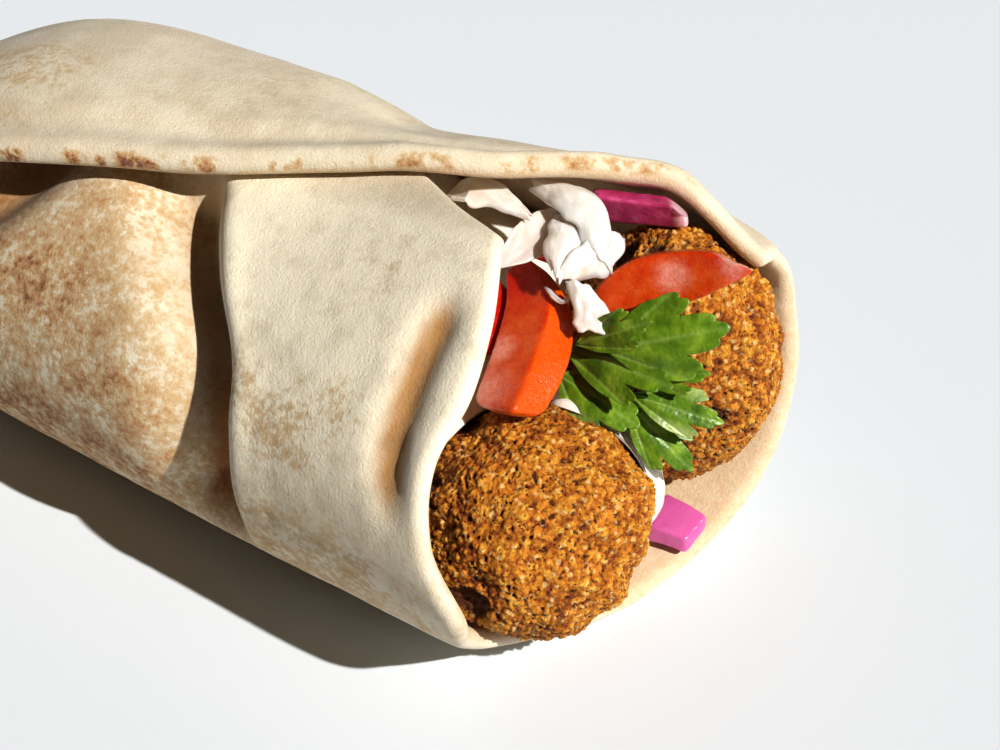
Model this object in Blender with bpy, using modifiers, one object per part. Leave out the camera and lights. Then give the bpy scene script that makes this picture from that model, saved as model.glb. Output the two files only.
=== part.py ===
"""A falafel pita: a thin flatbread rolled round falafel balls, white sauce, tomato, cabbage and parsley.

Lengths are in millimetres and become metres where a mesh is filled. The roll lies along X with its mouth
at +X, its near side at -Y and its flat underside on z = 0. Round the roll, an angle of 0 is the top, 90 the
near side, 180 the underside and 270 the far side. The sheet of bread runs from just past 0 right round to
beyond 360, so its last stretch lies over its first one.
"""

import math

import bmesh
import bpy
import numpy as np

MM = 0.001

BREAD_THICKNESS = 4.0
LAYER_GAP = 0.8
UNDERSIDE_PRESS = 1.2
RIM_THICKNESS_SHARE = 0.55
RIM_ROW = 0.008

TAIL_X = -90.0
CLOSING_X = -22.0
CLOSED_HALF_HEIGHT = 0.5
CLOSED_WIDTH_LOSS = 0.3
CLOSING_POWER = 2.4

HALF_WIDTH = 36.9
HALF_WIDTH_SLOPE = 0.043
HALF_HEIGHT = 27.2
HALF_HEIGHT_SLOPE = 0.032
MOUTH_SWELL = 2.6
MOUTH_SWELL_FROM = 19.0
MOUTH_SWELL_OVER = 50.0

OVERLAP_FROM = 296.0
OVERLAP_OVER = 46.0
# The loose flap lifts off the layer below: how far, from which angle, up to which x and from which x
FLAP_LIFT = 2.2
FLAP_LIFT_ANGLE, FLAP_LIFT_ANGLE_OVER = 345.0, 35.0
FLAP_LIFT_TO_X, FLAP_LIFT_TO_OVER = 15.0, 40.0
FLAP_LIFT_FROM_X, FLAP_LIFT_FROM_OVER = -86.0, 30.0
# Near the mouth the flap has nothing under it, so it climbs less
FLAP_SINK = 0.7
FLAP_SINK_FROM = 30.0
FLAP_SINK_OVER = 28.0

# Where the mouth's rim is, as angle and x, from the near top corner round to the far top corner
MOUTH_RIM = [
    (6, 58.4), (26, 66.5), (41, 69.4), (60, 68.2), (83, 70.4), (109, 75.8), (128, 72.5),
    (149, 72.5), (183, 81.2), (221, 87.0), (250, 86.0), (278, 83.0), (306, 82.5),
]
# The first edge of the sheet, under the flap, and its last edge, on top of it, as x and angle
INNER_EDGE = [(-90, -18), (36, -8), (47, 0), (58.4, 6)]
FLAP_EDGE = [
    (-90, 404), (-27, 391), (-10, 383), (6, 375), (20, 366), (32, 359), (47, 348),
    (56, 337), (66, 325), (75, 316), (82.5, 306),
]

# Creases pressed into the near wall: the line as angle and x, depth, width towards the mouth and the tail
VALLEY_LINE = [(5, 0), (16, 4.6), (33, 13), (50, 22), (72, 26), (91, 27.5), (125, 27.4)]
VALLEY_DEPTH, VALLEY_STEEP, VALLEY_GENTLE = 8.5, 4.0, 10.0
GROOVE_LINE = [(20, 59), (46, 60.4), (65, 61.7), (85, 65)]
GROOVE_DEPTH, GROOVE_WIDTH = 2.2, 3.0
TUCK_LINE = [(5, -25), (28, -29), (48, -36), (70, -44)]
TUCK_DEPTH, TUCK_WIDTH = 6.5, 8.0
CREASE_FADE_IN, CREASE_FADE_OUT = 12.0, 22.0

# How much lower the roll's far upper side is than its ellipse, by x, and the angles it fades between
SLUMP = [
    (5, 0.0), (15, 1.4), (24, 3.0), (31, 2.8), (42, 1.1), (51, -0.2),
    (60, -1.0), (68, -1.6), (73, 0.6), (79, 3.3), (84, 4.6),
]
SLUMP_FROM, SLUMP_TO = (272.0, 298.0), (338.0, 354.0)

# The far wall stands out where it meets the flap's end at the mouth
CORNER_STEP, CORNER_FROM, CORNER_TO, CORNER_X = 2.4, 268.0, 304.0, 68.0
CORNER_RISE, CORNER_FALL, CORNER_LENGTH = 22.0, 7.0, 12.0

BREAD_STEPS = (40, 27)
# Rows of the sheet stand closer together round the valley: how much closer, and where
ROW_CROWDING, ROW_CROWD_AT = 0.55, 0.615

FRONT_BALL = {"centre": (69.0, -13.0, 22.6), "radii": (18.5, 20.0, 17.6), "phase": 1.0}
REAR_BALL = {"centre": (71.8, 24.3, 33.4), "radii": (18.0, 15.2, 23.2), "phase": 4.0}
BALL_LUMPS = 0.9
LUMP_WAVES, LUMP_TURN, LUMP_CLIMB = 6, 2.4, 1.7
LUMP_PITCH, LUMP_PITCH_STEP, LUMP_GAIN = 0.30, 0.09, 1.6
BALL_ROOM = 1.5
WALL_CLEARANCE = 0.7
BLOCK_CLEARANCE = 1.4
# The wall is looked at a little to each side too, where a crease makes it slope
WALL_SHIFTS = (-2.0, -1.0, 0.0, 1.0, 2.0)
# The flap counts as the wall only this far round, where no first edge lies under it
UNDER_FLAP_TO, UNDER_FLAP_OVER = 352.0, 6.0

SAUCE_TAIL_X = -76.0
SAUCE_FRONT_X = 57.0
SAUCE_TOP_STEP = 20.0
SAUCE_TOP_FROM_Z, SAUCE_TOP_OVER_Z = 36.0, 12.0
SAUCE_TOP_FROM_X, SAUCE_TOP_OVER_X = 10.0, 40.0
SAUCE_END_SHARE, SAUCE_END_FULLNESS = 0.25, 0.7
SAUCE_OVERRUN = 0.05
SAUCE_STEPS = (32, 24)
SAUCE_CLEARANCE = 3.7
# The blobs of sauce that come forward between the balls: each a middle and three half axes
SAUCE_BLOBS = {
    "sauce_between": ((66.0, 6.5, 20.0), [(16.5, 0.0, 0.0), (0.0, 7.0, 0.0), (0.0, 0.0, 14.0)]),
    "sauce_ridge": ((72.8, 1.4, 26.0), [(7.0, 1.8, -9.0), (-1.2, 4.4, 0.0), (5.0, 1.0, 3.0)]),
}

BLOCK_CUTS = 2
BLOCK_BEVEL, CABBAGE_BEVEL, BEVEL_ANGLE = 0.7, 0.5, 35.0
LEAF_THICKNESS = 0.6
LEAF_STEPS = (10, 4)
# A leaf's outline: its width where a lobe is deepest cut, at its base and at its tip, as shares of the whole
LEAF_CUT, LEAF_BASE, LEAF_TIP = 0.62, 0.18, 0.12
LEAF_FULLNESS, LEAF_FOLD, LEAF_WAVE, LEAF_WAVES = 0.6, 0.2, 0.35, 9.0
STRIP_STEPS = (8, 3)
PATH_STEP = 0.01
BALL_DETAIL, ROOM_DETAIL = 4, 3

LOOKS = {
    "flatbread": ((0.80, 0.66, 0.46), 0.85),
    "falafel": ((0.42, 0.20, 0.07), 0.9),
    "white sauce": ((0.86, 0.82, 0.74), 0.35),
    "tomato": ((0.72, 0.07, 0.02), 0.25),
    "white cabbage": ((0.80, 0.76, 0.68), 0.35),
    "red cabbage": ((0.50, 0.05, 0.28), 0.35),
    "parsley": ((0.08, 0.22, 0.02), 0.4),
}

# Each block: stations from one end to the other, each a thin edge, a ridge, a far edge and an underside;
# then its bow
TOMATOES = {
    "tomato_front": (
        [[(48.6, 9.0, 50.6), (51.6, 11.0, 53.2), (54.2, 12.0, 51.2), (52.0, 10.8, 48.4)],
         [(51.8, 4.0, 47.2), (59.2, 6.2, 50.2), (61.3, 9.4, 47.2), (57.8, 8.2, 44.2)],
         [(55.3, -5.0, 44.6), (63.9, -5.6, 47.5), (67.3, 0.3, 45.5), (61.4, -0.7, 41.6)],
         [(58.4, -14.6, 42.4), (67.0, -15.6, 45.6), (69.6, -10.8, 42.4), (63.5, -11.5, 40.6)]],
        (0.0, 0.0, 0.3),
    ),
    "tomato_back": (
        [[(46.2, 7.2, 47.0), (48.2, 8.0, 48.2), (49.8, 8.8, 46.4), (47.6, 9.2, 45.2)],
         [(51.4, -5.6, 43.4), (53.4, -4.4, 44.2), (54.6, -2.6, 43.0), (52.8, -2.4, 41.8)]],
        (0.0, 0.0, 0.2),
    ),
    "tomato_small": (
        [[(50.5, 15.5, 54.0), (52.5, 14.5, 55.5), (56.5, 15.5, 54.5), (53.0, 16.0, 52.5)],
         [(53.5, 9.5, 54.0), (56.0, 9.0, 55.5), (59.0, 10.5, 54.0), (56.0, 11.0, 52.8)]],
        (0.0, 0.0, 0.4),
    ),
    "tomato_rear": (
        [[(61.8, 13.8, 48.8), (63.9, 10.2, 51.5), (66.9, 8.0, 46.6), (64.8, 11.4, 44.2)],
         [(69.6, 19.3, 55.4), (71.4, 16.0, 58.4), (73.6, 12.6, 49.8), (71.6, 16.2, 47.4)],
         [(77.0, 22.4, 57.8), (78.8, 19.1, 60.4), (79.8, 16.4, 53.4), (78.0, 19.8, 51.4)],
         [(85.2, 22.4, 58.8), (86.1, 20.8, 59.8), (85.9, 20.2, 57.6), (84.6, 21.6, 56.8)]],
        (0.0, 0.0, 0.0),
    ),
}
RED_CABBAGE = {
    "red_cabbage_top": (
        [[(57.2, 22.4, 55.6), (56.6, 22.0, 59.6), (54.6, 24.6, 58.8), (55.4, 24.8, 55.2)],
         [(71.4, 25.8, 58.2), (70.6, 25.4, 61.4), (68.4, 29.0, 59.4), (69.0, 29.6, 56.4)]],
        (0.0, 0.0, 0.0),
    ),
    "red_cabbage_low": (
        [[(75.5, 17.0, 10.0), (76.2, 9.8, 8.2), (76.2, 9.4, 5.0), (75.5, 16.5, 7.0)],
         [(84.2, 16.8, 9.2), (83.8, 11.0, 7.9), (84.0, 10.8, 5.0), (84.4, 16.8, 7.0)]],
        (0.0, 0.0, 0.4),
    ),
}
# Each shred: its path, the way across it at even steps, half widths along it, camber and thickness
WHITE_CABBAGE = {
    "white_cabbage_left": (
        [(36.2, 10.2, 59.2), (39.1, 11.5, 60.2), (43.3, 12.4, 60.4), (47.6, 12.5, 60.2), (51.0, 12.3, 59.6)],
        [(0.55, 0.8, 0.1), (-0.5, 0.8, 0.2)], [1.6, 2.8, 2.3, 1.7, 0.9], 0.5, 1.2,
    ),
    "white_cabbage_top": (
        [(48.2, 19.4, 60.0), (52.3, 18.4, 60.9), (57.4, 17.1, 61.2), (61.2, 15.2, 59.4), (63.6, 13.2, 56.2)],
        [(0.25, 0.9, 0.1), (0.7, 0.7, -0.1)], [1.6, 2.9, 3.0, 2.6, 1.8], 1.0, 1.3,
    ),
    "white_cabbage_inner": (
        [(50.8, 4.8, 56.0), (52.3, 9.6, 57.2), (52.9, 14.2, 57.6)],
        [(0.9, 0.0, -0.25)] * 2, [1.6, 2.3, 1.8], 0.4, 1.0,
    ),
    "white_cabbage_tongue": (
        [(57.0, 13.0, 58.6), (58.8, 9.6, 57.8), (60.6, 5.8, 55.6)],
        [(0.8, 0.55, -0.1)] * 2, [2.0, 2.3, 0.9], 0.6, 1.1,
    ),
    "white_cabbage_right": (
        [(66.2, 17.2, 58.6), (67.2, 14.4, 58.0), (66.0, 11.4, 56.6), (64.4, 9.0, 55.6)],
        [(0.7, 0.5, -0.3), (0.5, 0.9, 0.0)], [1.5, 2.0, 2.0, 1.4], 0.5, 1.0,
    ),
    "white_cabbage_low": (
        [(64.0, 7.3, 52.9), (65.4, 6.8, 52.0), (66.6, 6.3, 51.2), (67.6, 5.8, 50.4)],
        [(0.7, 0.6, 0.0)] * 2, [1.2, 1.7, 1.9, 1.6], 0.4, 1.0,
    ),
}
VIEW_SIDE = (0.44, -0.63, 0.64)
# Each leaf: its base, its tip, half width, number of lobes, droop and the side it faces
LEAVES = [
    ((74.8, 6.4, 48.2), (86.8, 12.4, 53.2), 3.8, 3, 0.6, VIEW_SIDE),
    ((67.4, 4.6, 46.6), (76.0, 6.4, 53.6), 1.6, 3, 0.4, (0.3, -0.8, 0.5)),
    ((62.6, 5.6, 42.4), (82.8, 4.4, 45.4), 3.1, 4, 1.2, (0.4, -0.5, 0.75)),
    ((78.2, 7.0, 44.2), (85.8, 8.8, 45.8), 1.5, 2, 0.3, VIEW_SIDE),
    ((64.6, 2.8, 39.6), (76.8, 2.6, 38.6), 3.4, 3, 0.6, (0.4, -0.5, 0.75)),
    ((76.4, 5.4, 36.4), (85.6, 6.4, 28.9), 2.3, 3, 0.4, VIEW_SIDE),
    ((77.2, 4.8, 39.6), (89.4, 9.6, 37.6), 2.2, 3, 0.8, VIEW_SIDE),
]


def clear_scene():
    for obj in list(bpy.data.objects):
        bpy.data.objects.remove(obj, do_unlink=True)


def collection(name):
    made = bpy.data.collections.new(name)
    bpy.context.scene.collection.children.link(made)
    return made


def material(name):
    colour, roughness = LOOKS[name]
    made = bpy.data.materials.new(name)
    made.use_nodes = True
    shader = made.node_tree.nodes["Principled BSDF"]
    shader.inputs["Base Color"].default_value = (*colour, 1.0)
    shader.inputs["Roughness"].default_value = roughness
    shader.inputs["Metallic"].default_value = 0.0
    return made


def ease(value):
    value = np.clip(value, 0.0, 1.0)
    return value * value * (3.0 - 2.0 * value)


def smooth_through(points, at):
    """A cubic through (key, value) points whose slopes are those of the neighbouring points."""
    keys, values = np.array(points, float).T
    slopes = np.gradient(values, keys)
    at = np.clip(at, keys[0], keys[-1])
    i = np.clip(np.searchsorted(keys, at) - 1, 0, len(keys) - 2)
    span = keys[i + 1] - keys[i]
    t = (at - keys[i]) / span
    start = (1 + 2 * t) * (1 - t) ** 2 * values[i] + t * (1 - t) ** 2 * span * slopes[i]
    end = t * t * (3 - 2 * t) * values[i + 1] - t * t * (1 - t) * span * slopes[i + 1]
    return start + end


def unit(vectors):
    return vectors / np.linalg.norm(vectors, axis=-1, keepdims=True)


def path_through(points, at):
    """The same cubic for points in space, evenly keyed from 0 to 1."""
    keys = np.linspace(0, 1, len(points))
    axes = np.array(points, float).T
    return np.stack([smooth_through(list(zip(keys, axis)), at) for axis in axes], -1)


def hollow_size(x):
    """Half width and half height of the space inside the roll, which closes flat towards the tail."""
    closing = np.clip((CLOSING_X - x) / (CLOSING_X - TAIL_X), 0.0, 1.0)
    half_width = (HALF_WIDTH + HALF_WIDTH_SLOPE * x) * (1 - CLOSED_WIDTH_LOSS * closing**2)
    swell = MOUTH_SWELL * ease((x - MOUTH_SWELL_FROM) / MOUTH_SWELL_OVER)
    half_height = (HALF_HEIGHT + HALF_HEIGHT_SLOPE * x + swell) * (1 - closing**CLOSING_POWER)
    return half_width, half_height + CLOSED_HALF_HEIGHT


def hollow_middle(x):
    return hollow_size(x)[1] + BREAD_THICKNESS - UNDERSIDE_PRESS


def hollow_point(angle, x):
    """A point of the bread's inner surface, before creases, at an angle in degrees and an x."""
    half_width, half_height = hollow_size(x)
    turn = np.radians(angle)
    round_turn = np.arctan2(np.sqrt(half_width) * np.sin(turn), np.sqrt(half_height) * np.cos(turn))
    y = -half_width * np.sin(round_turn)
    z = half_height * np.cos(round_turn) + hollow_middle(x)
    return np.stack(np.broadcast_arrays(x, y, z), -1)


def hollow_normal(angle, x):
    step = 0.25
    along_angle = hollow_point(angle + step, x) - hollow_point(angle - step, x)
    along_x = hollow_point(angle, x + step) - hollow_point(angle, x - step)
    return unit(np.cross(along_angle, along_x))


def crease(angle, x, line, depth, steep, gentle):
    """How far a crease presses in: a bump across its line that fades over the ends of the line."""
    across = x - smooth_through(line, angle)
    width = np.where(across > 0, steep, gentle)
    first, last = line[0][0], line[-1][0]
    fade = ease((angle - first) / CREASE_FADE_IN) * ease((last - angle) / CREASE_FADE_OUT)
    return depth * fade * np.exp(-((across / width) ** 2))


def dent(angle, x):
    valley = crease(angle, x, VALLEY_LINE, VALLEY_DEPTH, VALLEY_STEEP, VALLEY_GENTLE)
    groove = crease(angle, x, GROOVE_LINE, GROOVE_DEPTH, GROOVE_WIDTH, GROOVE_WIDTH)
    tuck = crease(angle, x, TUCK_LINE, TUCK_DEPTH, TUCK_WIDTH, TUCK_WIDTH)
    slump = ease((angle - SLUMP_FROM[0]) / (SLUMP_FROM[1] - SLUMP_FROM[0]))
    slump = slump * ease((SLUMP_TO[1] - angle) / (SLUMP_TO[1] - SLUMP_TO[0]))
    return valley + groove + tuck + slump * smooth_through(SLUMP, x)


def overlap(angle, x):
    """How far the sheet stands off the hollow where it climbs over its own first edge."""
    sink = 1 - FLAP_SINK * ease((x - FLAP_SINK_FROM) / FLAP_SINK_OVER)
    climb = (BREAD_THICKNESS + LAYER_GAP) * ease((angle - OVERLAP_FROM) / OVERLAP_OVER) * sink
    lift = FLAP_LIFT * ease((angle - FLAP_LIFT_ANGLE) / FLAP_LIFT_ANGLE_OVER)
    lift = lift * ease((FLAP_LIFT_TO_X - x) / FLAP_LIFT_TO_OVER)
    lift = lift * ease((x - FLAP_LIFT_FROM_X) / FLAP_LIFT_FROM_OVER)
    corner = ease((angle - CORNER_FROM) / CORNER_RISE) * ease((CORNER_TO - angle) / CORNER_FALL)
    corner = corner * ease((x - CORNER_X) / CORNER_LENGTH)
    return climb + lift + CORNER_STEP * corner


def bread_middle(angle, x):
    """The middle surface of the sheet of bread."""
    offset = BREAD_THICKNESS / 2 + overlap(angle, x) - dent(angle, x)
    return hollow_point(angle, x) + hollow_normal(angle, x) * offset[..., None]


def sheet_place(a, b):
    """Angle and x of the sheet at a, 0 to 1 round the roll, and b, 0 to 1 from the tail to the mouth."""
    end_x = np.full_like(a, MOUTH_RIM[-1][1])
    for _ in range(8):
        first, last = smooth_through(INNER_EDGE, end_x), smooth_through(FLAP_EDGE, end_x)
        end_x = smooth_through(MOUTH_RIM, first + (last - first) * a)
    crowded = np.sin(2 * np.pi * (b - ROW_CROWD_AT)) + np.sin(2 * np.pi * ROW_CROWD_AT)
    x = TAIL_X + (end_x - TAIL_X) * (b - ROW_CROWDING / (2 * np.pi) * crowded)
    first, last = smooth_through(INNER_EDGE, x), smooth_through(FLAP_EDGE, x)
    return first + (last - first) * a, x


def inside_bread(points, clearance):
    """Moves points that are outside the hollow, or nearer its wall than the clearance, back inside it."""
    x = points[..., 0]
    half_width, half_height = hollow_size(x)
    middle = hollow_middle(x)
    across, up = -points[..., 1] / half_width, (points[..., 2] - middle) / half_height
    turn = np.arctan2(across, up)
    flat_turn = np.arctan2(np.sin(turn) / np.sqrt(half_width), np.cos(turn) / np.sqrt(half_height))
    angle = np.degrees(flat_turn) % 360
    wall = np.hypot(half_width * np.sin(turn), half_height * np.cos(turn))
    under_flap = ease((smooth_through(INNER_EDGE, x) + UNDER_FLAP_TO - angle) / UNDER_FLAP_OVER)
    pressed = np.max([dent(angle, x + shift) for shift in WALL_SHIFTS], axis=0)
    most = 1 + (overlap(angle, x) * under_flap - pressed - clearance) / wall
    share = np.minimum(1.0, most / np.maximum(np.hypot(across, up), 1e-6))
    return np.stack([x, points[..., 1] * share, middle + (points[..., 2] - middle) * share], -1)


def mesh_points(mesh):
    flat = np.empty(len(mesh.vertices) * 3)
    mesh.vertices.foreach_get("co", flat)
    return flat.reshape(-1, 3)


def set_mesh_points(mesh, points):
    mesh.vertices.foreach_set("co", np.asarray(points, float).ravel())
    mesh.update()


def new_object(name, bm, place, look=None):
    mesh = bpy.data.meshes.new(name)
    bm.to_mesh(mesh)
    bm.free()
    obj = bpy.data.objects.new(name, mesh)
    place.objects.link(obj)
    if look:
        mesh.materials.append(look)
    mesh.shade_smooth()
    return obj


def grid_object(name, steps, place, look):
    """A flat grid whose points are then read as a and b, both 0 to 1."""
    bm = bmesh.new()
    bmesh.ops.create_grid(bm, x_segments=steps[0], y_segments=steps[1], size=0.5)
    obj = new_object(name, bm, place, look)
    flat = mesh_points(obj.data) + 0.5
    return obj, flat[:, 0], flat[:, 1]


def thicken(obj, thickness, group=None):
    solidify = obj.modifiers.new("thickness", "SOLIDIFY")
    solidify.thickness = thickness * MM
    solidify.offset = 0.0
    solidify.use_even_offset = False
    if group:
        solidify.vertex_group = group
        solidify.thickness_vertex_group = 0.0
    return solidify


def apply_modifiers(obj):
    graph = bpy.context.evaluated_depsgraph_get()
    made = bpy.data.meshes.new_from_object(obj.evaluated_get(graph))
    obj.modifiers.clear()
    obj.data = made
    return made


def face_out(mesh):
    bm = bmesh.new()
    bm.from_mesh(mesh)
    bmesh.ops.recalc_face_normals(bm, faces=bm.faces)
    bm.to_mesh(mesh)
    bm.free()


def with_rim_row(share, steps):
    """Moves the first and last inner rows of a grid close to its edge, so that only the rim is thin."""
    first = 1.0 / steps
    inner = RIM_ROW + (1 - 2 * RIM_ROW) * (share - first) / (1 - 2 * first)
    return np.where(share < first / 2, 0.0, np.where(share > 1 - first / 2, 1.0, inner))


def make_bread(place):
    obj, a, b = grid_object("pita", BREAD_STEPS, place, material("flatbread"))
    edge = (np.minimum(a, 1 - a) < 0.001) | (np.minimum(b, 1 - b) < 0.001)
    angle, x = sheet_place(with_rim_row(a, BREAD_STEPS[0]), with_rim_row(b, BREAD_STEPS[1]))
    set_mesh_points(obj.data, bread_middle(angle, x) * MM)
    group = obj.vertex_groups.new(name="full")
    group.add(np.flatnonzero(~edge).tolist(), 1.0, "REPLACE")
    group.add(np.flatnonzero(edge).tolist(), RIM_THICKNESS_SHARE, "REPLACE")
    thicken(obj, BREAD_THICKNESS, "full")
    mesh = apply_modifiers(obj)
    points = mesh_points(mesh)
    points[:, 2] = np.maximum(points[:, 2], 0.0)
    set_mesh_points(mesh, points)
    face_out(mesh)
    return obj


def lumps(points, phase):
    """A soft uneven height between -1 and 1 made of a few crossed waves."""
    height = np.zeros(len(points))
    for k in range(LUMP_WAVES):
        turn = phase + LUMP_TURN * k
        wave = np.array([math.cos(turn), math.sin(turn), math.sin(LUMP_CLIMB * turn)])
        pitch = LUMP_PITCH + LUMP_PITCH_STEP * k
        height += np.sin(points @ (wave * pitch) + phase * k) / LUMP_WAVES
    return height * LUMP_GAIN


def round_object(name, detail, place, look=None):
    """A ball of radius 1, and the directions of its points."""
    bm = bmesh.new()
    bmesh.ops.create_icosphere(bm, subdivisions=detail, radius=1.0)
    obj = new_object(name, bm, place, look)
    return obj, mesh_points(obj.data)


def hide(obj):
    obj.hide_render = True
    obj.display_type = "WIRE"


def make_falafel(name, ball, place, look):
    obj, out = round_object(name, BALL_DETAIL, place, look)
    points = np.array(ball["centre"]) + out * np.array(ball["radii"])
    points = points + out * (BALL_LUMPS * lumps(points, ball["phase"]))[:, None]
    set_mesh_points(obj.data, inside_bread(points, WALL_CLEARANCE) * MM)


def make_room(name, ball, place):
    """The space a ball needs: other food is cut away where it would come nearer than this."""
    obj, out = round_object(name, ROOM_DETAIL, place)
    points = np.array(ball["centre"]) + out * (np.array(ball["radii"]) + BALL_ROOM)
    set_mesh_points(obj.data, points * MM)
    hide(obj)
    return obj


def cut(obj, rooms):
    for room in rooms:
        boolean = obj.modifiers.new("room for " + room.name, "BOOLEAN")
        boolean.operation = "DIFFERENCE"
        boolean.object = room


def make_sauce(place, cutters, rooms):
    """Sauce fills the roll behind the balls and comes forward between them."""
    bm = bmesh.new()
    bmesh.ops.create_uvsphere(bm, u_segments=SAUCE_STEPS[0], v_segments=SAUCE_STEPS[1], radius=1.0)
    obj = new_object("white_sauce", bm, place, material("white sauce"))
    out = mesh_points(obj.data)
    along = np.arccos(np.clip(out[:, 2], -1, 1)) / math.pi
    turn = np.degrees(np.arctan2(out[:, 1], out[:, 0])) % 360
    wide = np.minimum(1.0, np.minimum(along, 1 - along) / SAUCE_END_SHARE) ** SAUCE_END_FULLNESS
    run = ease(along * (1 + 2 * SAUCE_OVERRUN) - SAUCE_OVERRUN)
    x = SAUCE_FRONT_X + (SAUCE_TAIL_X - SAUCE_FRONT_X) * run
    middle = np.stack([x, np.zeros_like(x), hollow_middle(x)], -1)
    points = inside_bread(middle + (hollow_point(turn, x) - middle) * wide[:, None], SAUCE_CLEARANCE)
    high = ease((points[:, 2] - SAUCE_TOP_FROM_Z) / SAUCE_TOP_OVER_Z)
    points[:, 0] -= SAUCE_TOP_STEP * high * ease((points[:, 0] - SAUCE_TOP_FROM_X) / SAUCE_TOP_OVER_X)
    set_mesh_points(obj.data, inside_bread(points, SAUCE_CLEARANCE) * MM)
    face_out(obj.data)
    for name, (middle, axes) in SAUCE_BLOBS.items():
        blob, out = round_object(name, ROOM_DETAIL, cutters)
        points = np.array(middle) + out @ np.array(axes)
        set_mesh_points(blob.data, inside_bread(points, WALL_CLEARANCE) * MM)
        face_out(blob.data)
        hide(blob)
        join = obj.modifiers.new("join " + name, "BOOLEAN")
        join.operation = "UNION"
        join.object = blob
    cut(obj, rooms)


def block_object(name, stations, bow, place, look, bevel):
    """A four-cornered piece carried through its stations, bowed in the middle, with its edges softened."""
    bm = bmesh.new()
    bmesh.ops.create_cube(bm, size=1.0)
    bmesh.ops.subdivide_edges(bm, edges=bm.edges, cuts=BLOCK_CUTS, use_grid_fill=True)
    obj = new_object(name, bm, place, look)
    a, b, c = (mesh_points(obj.data) + 0.5).T
    thin, ridge, far, under = (path_through([station[k] for station in stations], a) for k in range(4))
    a, b, c = a[:, None], b[:, None], c[:, None]
    points = (under * (1 - b) + far * b) * (1 - c) + (thin * (1 - b) + ridge * b) * c
    points = points + np.array(bow) * (4 * a * (1 - a))
    set_mesh_points(obj.data, inside_bread(points, BLOCK_CLEARANCE) * MM)
    face_out(obj.data)
    soften = obj.modifiers.new("rounded edges", "BEVEL")
    soften.width = bevel * MM
    soften.segments = 1
    soften.limit_method = "ANGLE"
    soften.angle_limit = math.radians(BEVEL_ANGLE)
    return obj


def make_tomatoes(place, rooms):
    look = material("tomato")
    for name, (stations, bow) in TOMATOES.items():
        cut(block_object(name, stations, bow, place, look, BLOCK_BEVEL), rooms)


def make_strip(name, path, across, half_widths, camber, thickness, place, look):
    """A ribbon along a path of points, with its half width at each, arched across by the camber."""
    obj, a, b = grid_object(name, STRIP_STEPS, place, look)
    centre, side = path_through(path, a), path_through(across, a)
    before, after = np.maximum(a - PATH_STEP, 0), np.minimum(a + PATH_STEP, 1)
    along = path_through(path, after) - path_through(path, before)
    up = unit(np.cross(along, side))
    side = unit(np.cross(up, along))
    keys = np.linspace(0, 1, len(half_widths))
    cross = 2 * b - 1
    reach = cross * smooth_through(list(zip(keys, half_widths)), a)
    points = centre + side * reach[:, None] + up * (camber * (1 - cross**2))[:, None]
    set_mesh_points(obj.data, inside_bread(points, WALL_CLEARANCE + thickness / 2) * MM)
    thicken(obj, thickness)
    face_out(apply_modifiers(obj))


def make_cabbage(place):
    white, red = material("white cabbage"), material("red cabbage")
    for name, shred in WHITE_CABBAGE.items():
        make_strip(name, *shred, place, white)
    for name, (stations, bow) in RED_CABBAGE.items():
        block_object(name, stations, bow, place, red, CABBAGE_BEVEL)


def make_leaf(name, base, tip, half_width, lobes, droop, facing, place, look):
    """A leaflet: a grid from base to tip whose edge swells into lobes, waved along its length."""
    obj, a, b = grid_object(name, LEAF_STEPS, place, look)
    base, tip, facing = np.array(base, float), np.array(tip, float), np.array(facing, float)
    along = tip - base
    side = unit(np.cross(facing, along))
    up = unit(np.cross(along, side))
    cross = 2 * b - 1
    lobed = LEAF_CUT + (1 - LEAF_CUT) * np.abs(np.sin(lobes * math.pi * a))
    outline = np.maximum(np.sin(math.pi * a), 0.0) ** LEAF_FULLNESS * lobed
    outline = np.maximum(outline, LEAF_BASE + (LEAF_TIP - LEAF_BASE) * a)
    reach = cross * half_width * outline
    lift = droop * 4 * a * (1 - a) - LEAF_FOLD * np.abs(reach)
    lift = lift + LEAF_WAVE * np.sin(LEAF_WAVES * a + 3 * cross)
    points = base + along * a[:, None] + side * reach[:, None] + up * lift[:, None]
    set_mesh_points(obj.data, points * MM)
    thicken(obj, LEAF_THICKNESS)
    face_out(apply_modifiers(obj))


def make_parsley(place):
    look = material("parsley")
    for number, leaf in enumerate(LEAVES, 1):
        make_leaf(f"parsley_{number}", *leaf, place, look)


def main():
    clear_scene()
    food = collection("falafel_pita")
    cutters = collection("cutters")
    cutters.hide_render = True
    make_bread(food)
    fried = material("falafel")
    make_falafel("falafel_front", FRONT_BALL, food, fried)
    make_falafel("falafel_rear", REAR_BALL, food, fried)
    rooms = [make_room("front_room", FRONT_BALL, cutters), make_room("rear_room", REAR_BALL, cutters)]
    make_sauce(food, cutters, rooms)
    make_tomatoes(food, rooms)
    make_cabbage(food)
    make_parsley(food)


main()
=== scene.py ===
"""A falafel pita on a pale table in sunlight: a thin flatbread rolled round falafel, sauce, salad and herbs.

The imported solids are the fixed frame, and each of them is replaced here by a finer surface worked out from the same
named sizes. Lengths are in millimetres and become metres where a mesh is filled. The roll lies along X with its mouth
at +X and its near side at -Y. Round the roll, an angle of 0 is the top, 90 the near side, 180 the underside and 270
the far side.
"""

import math

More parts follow.
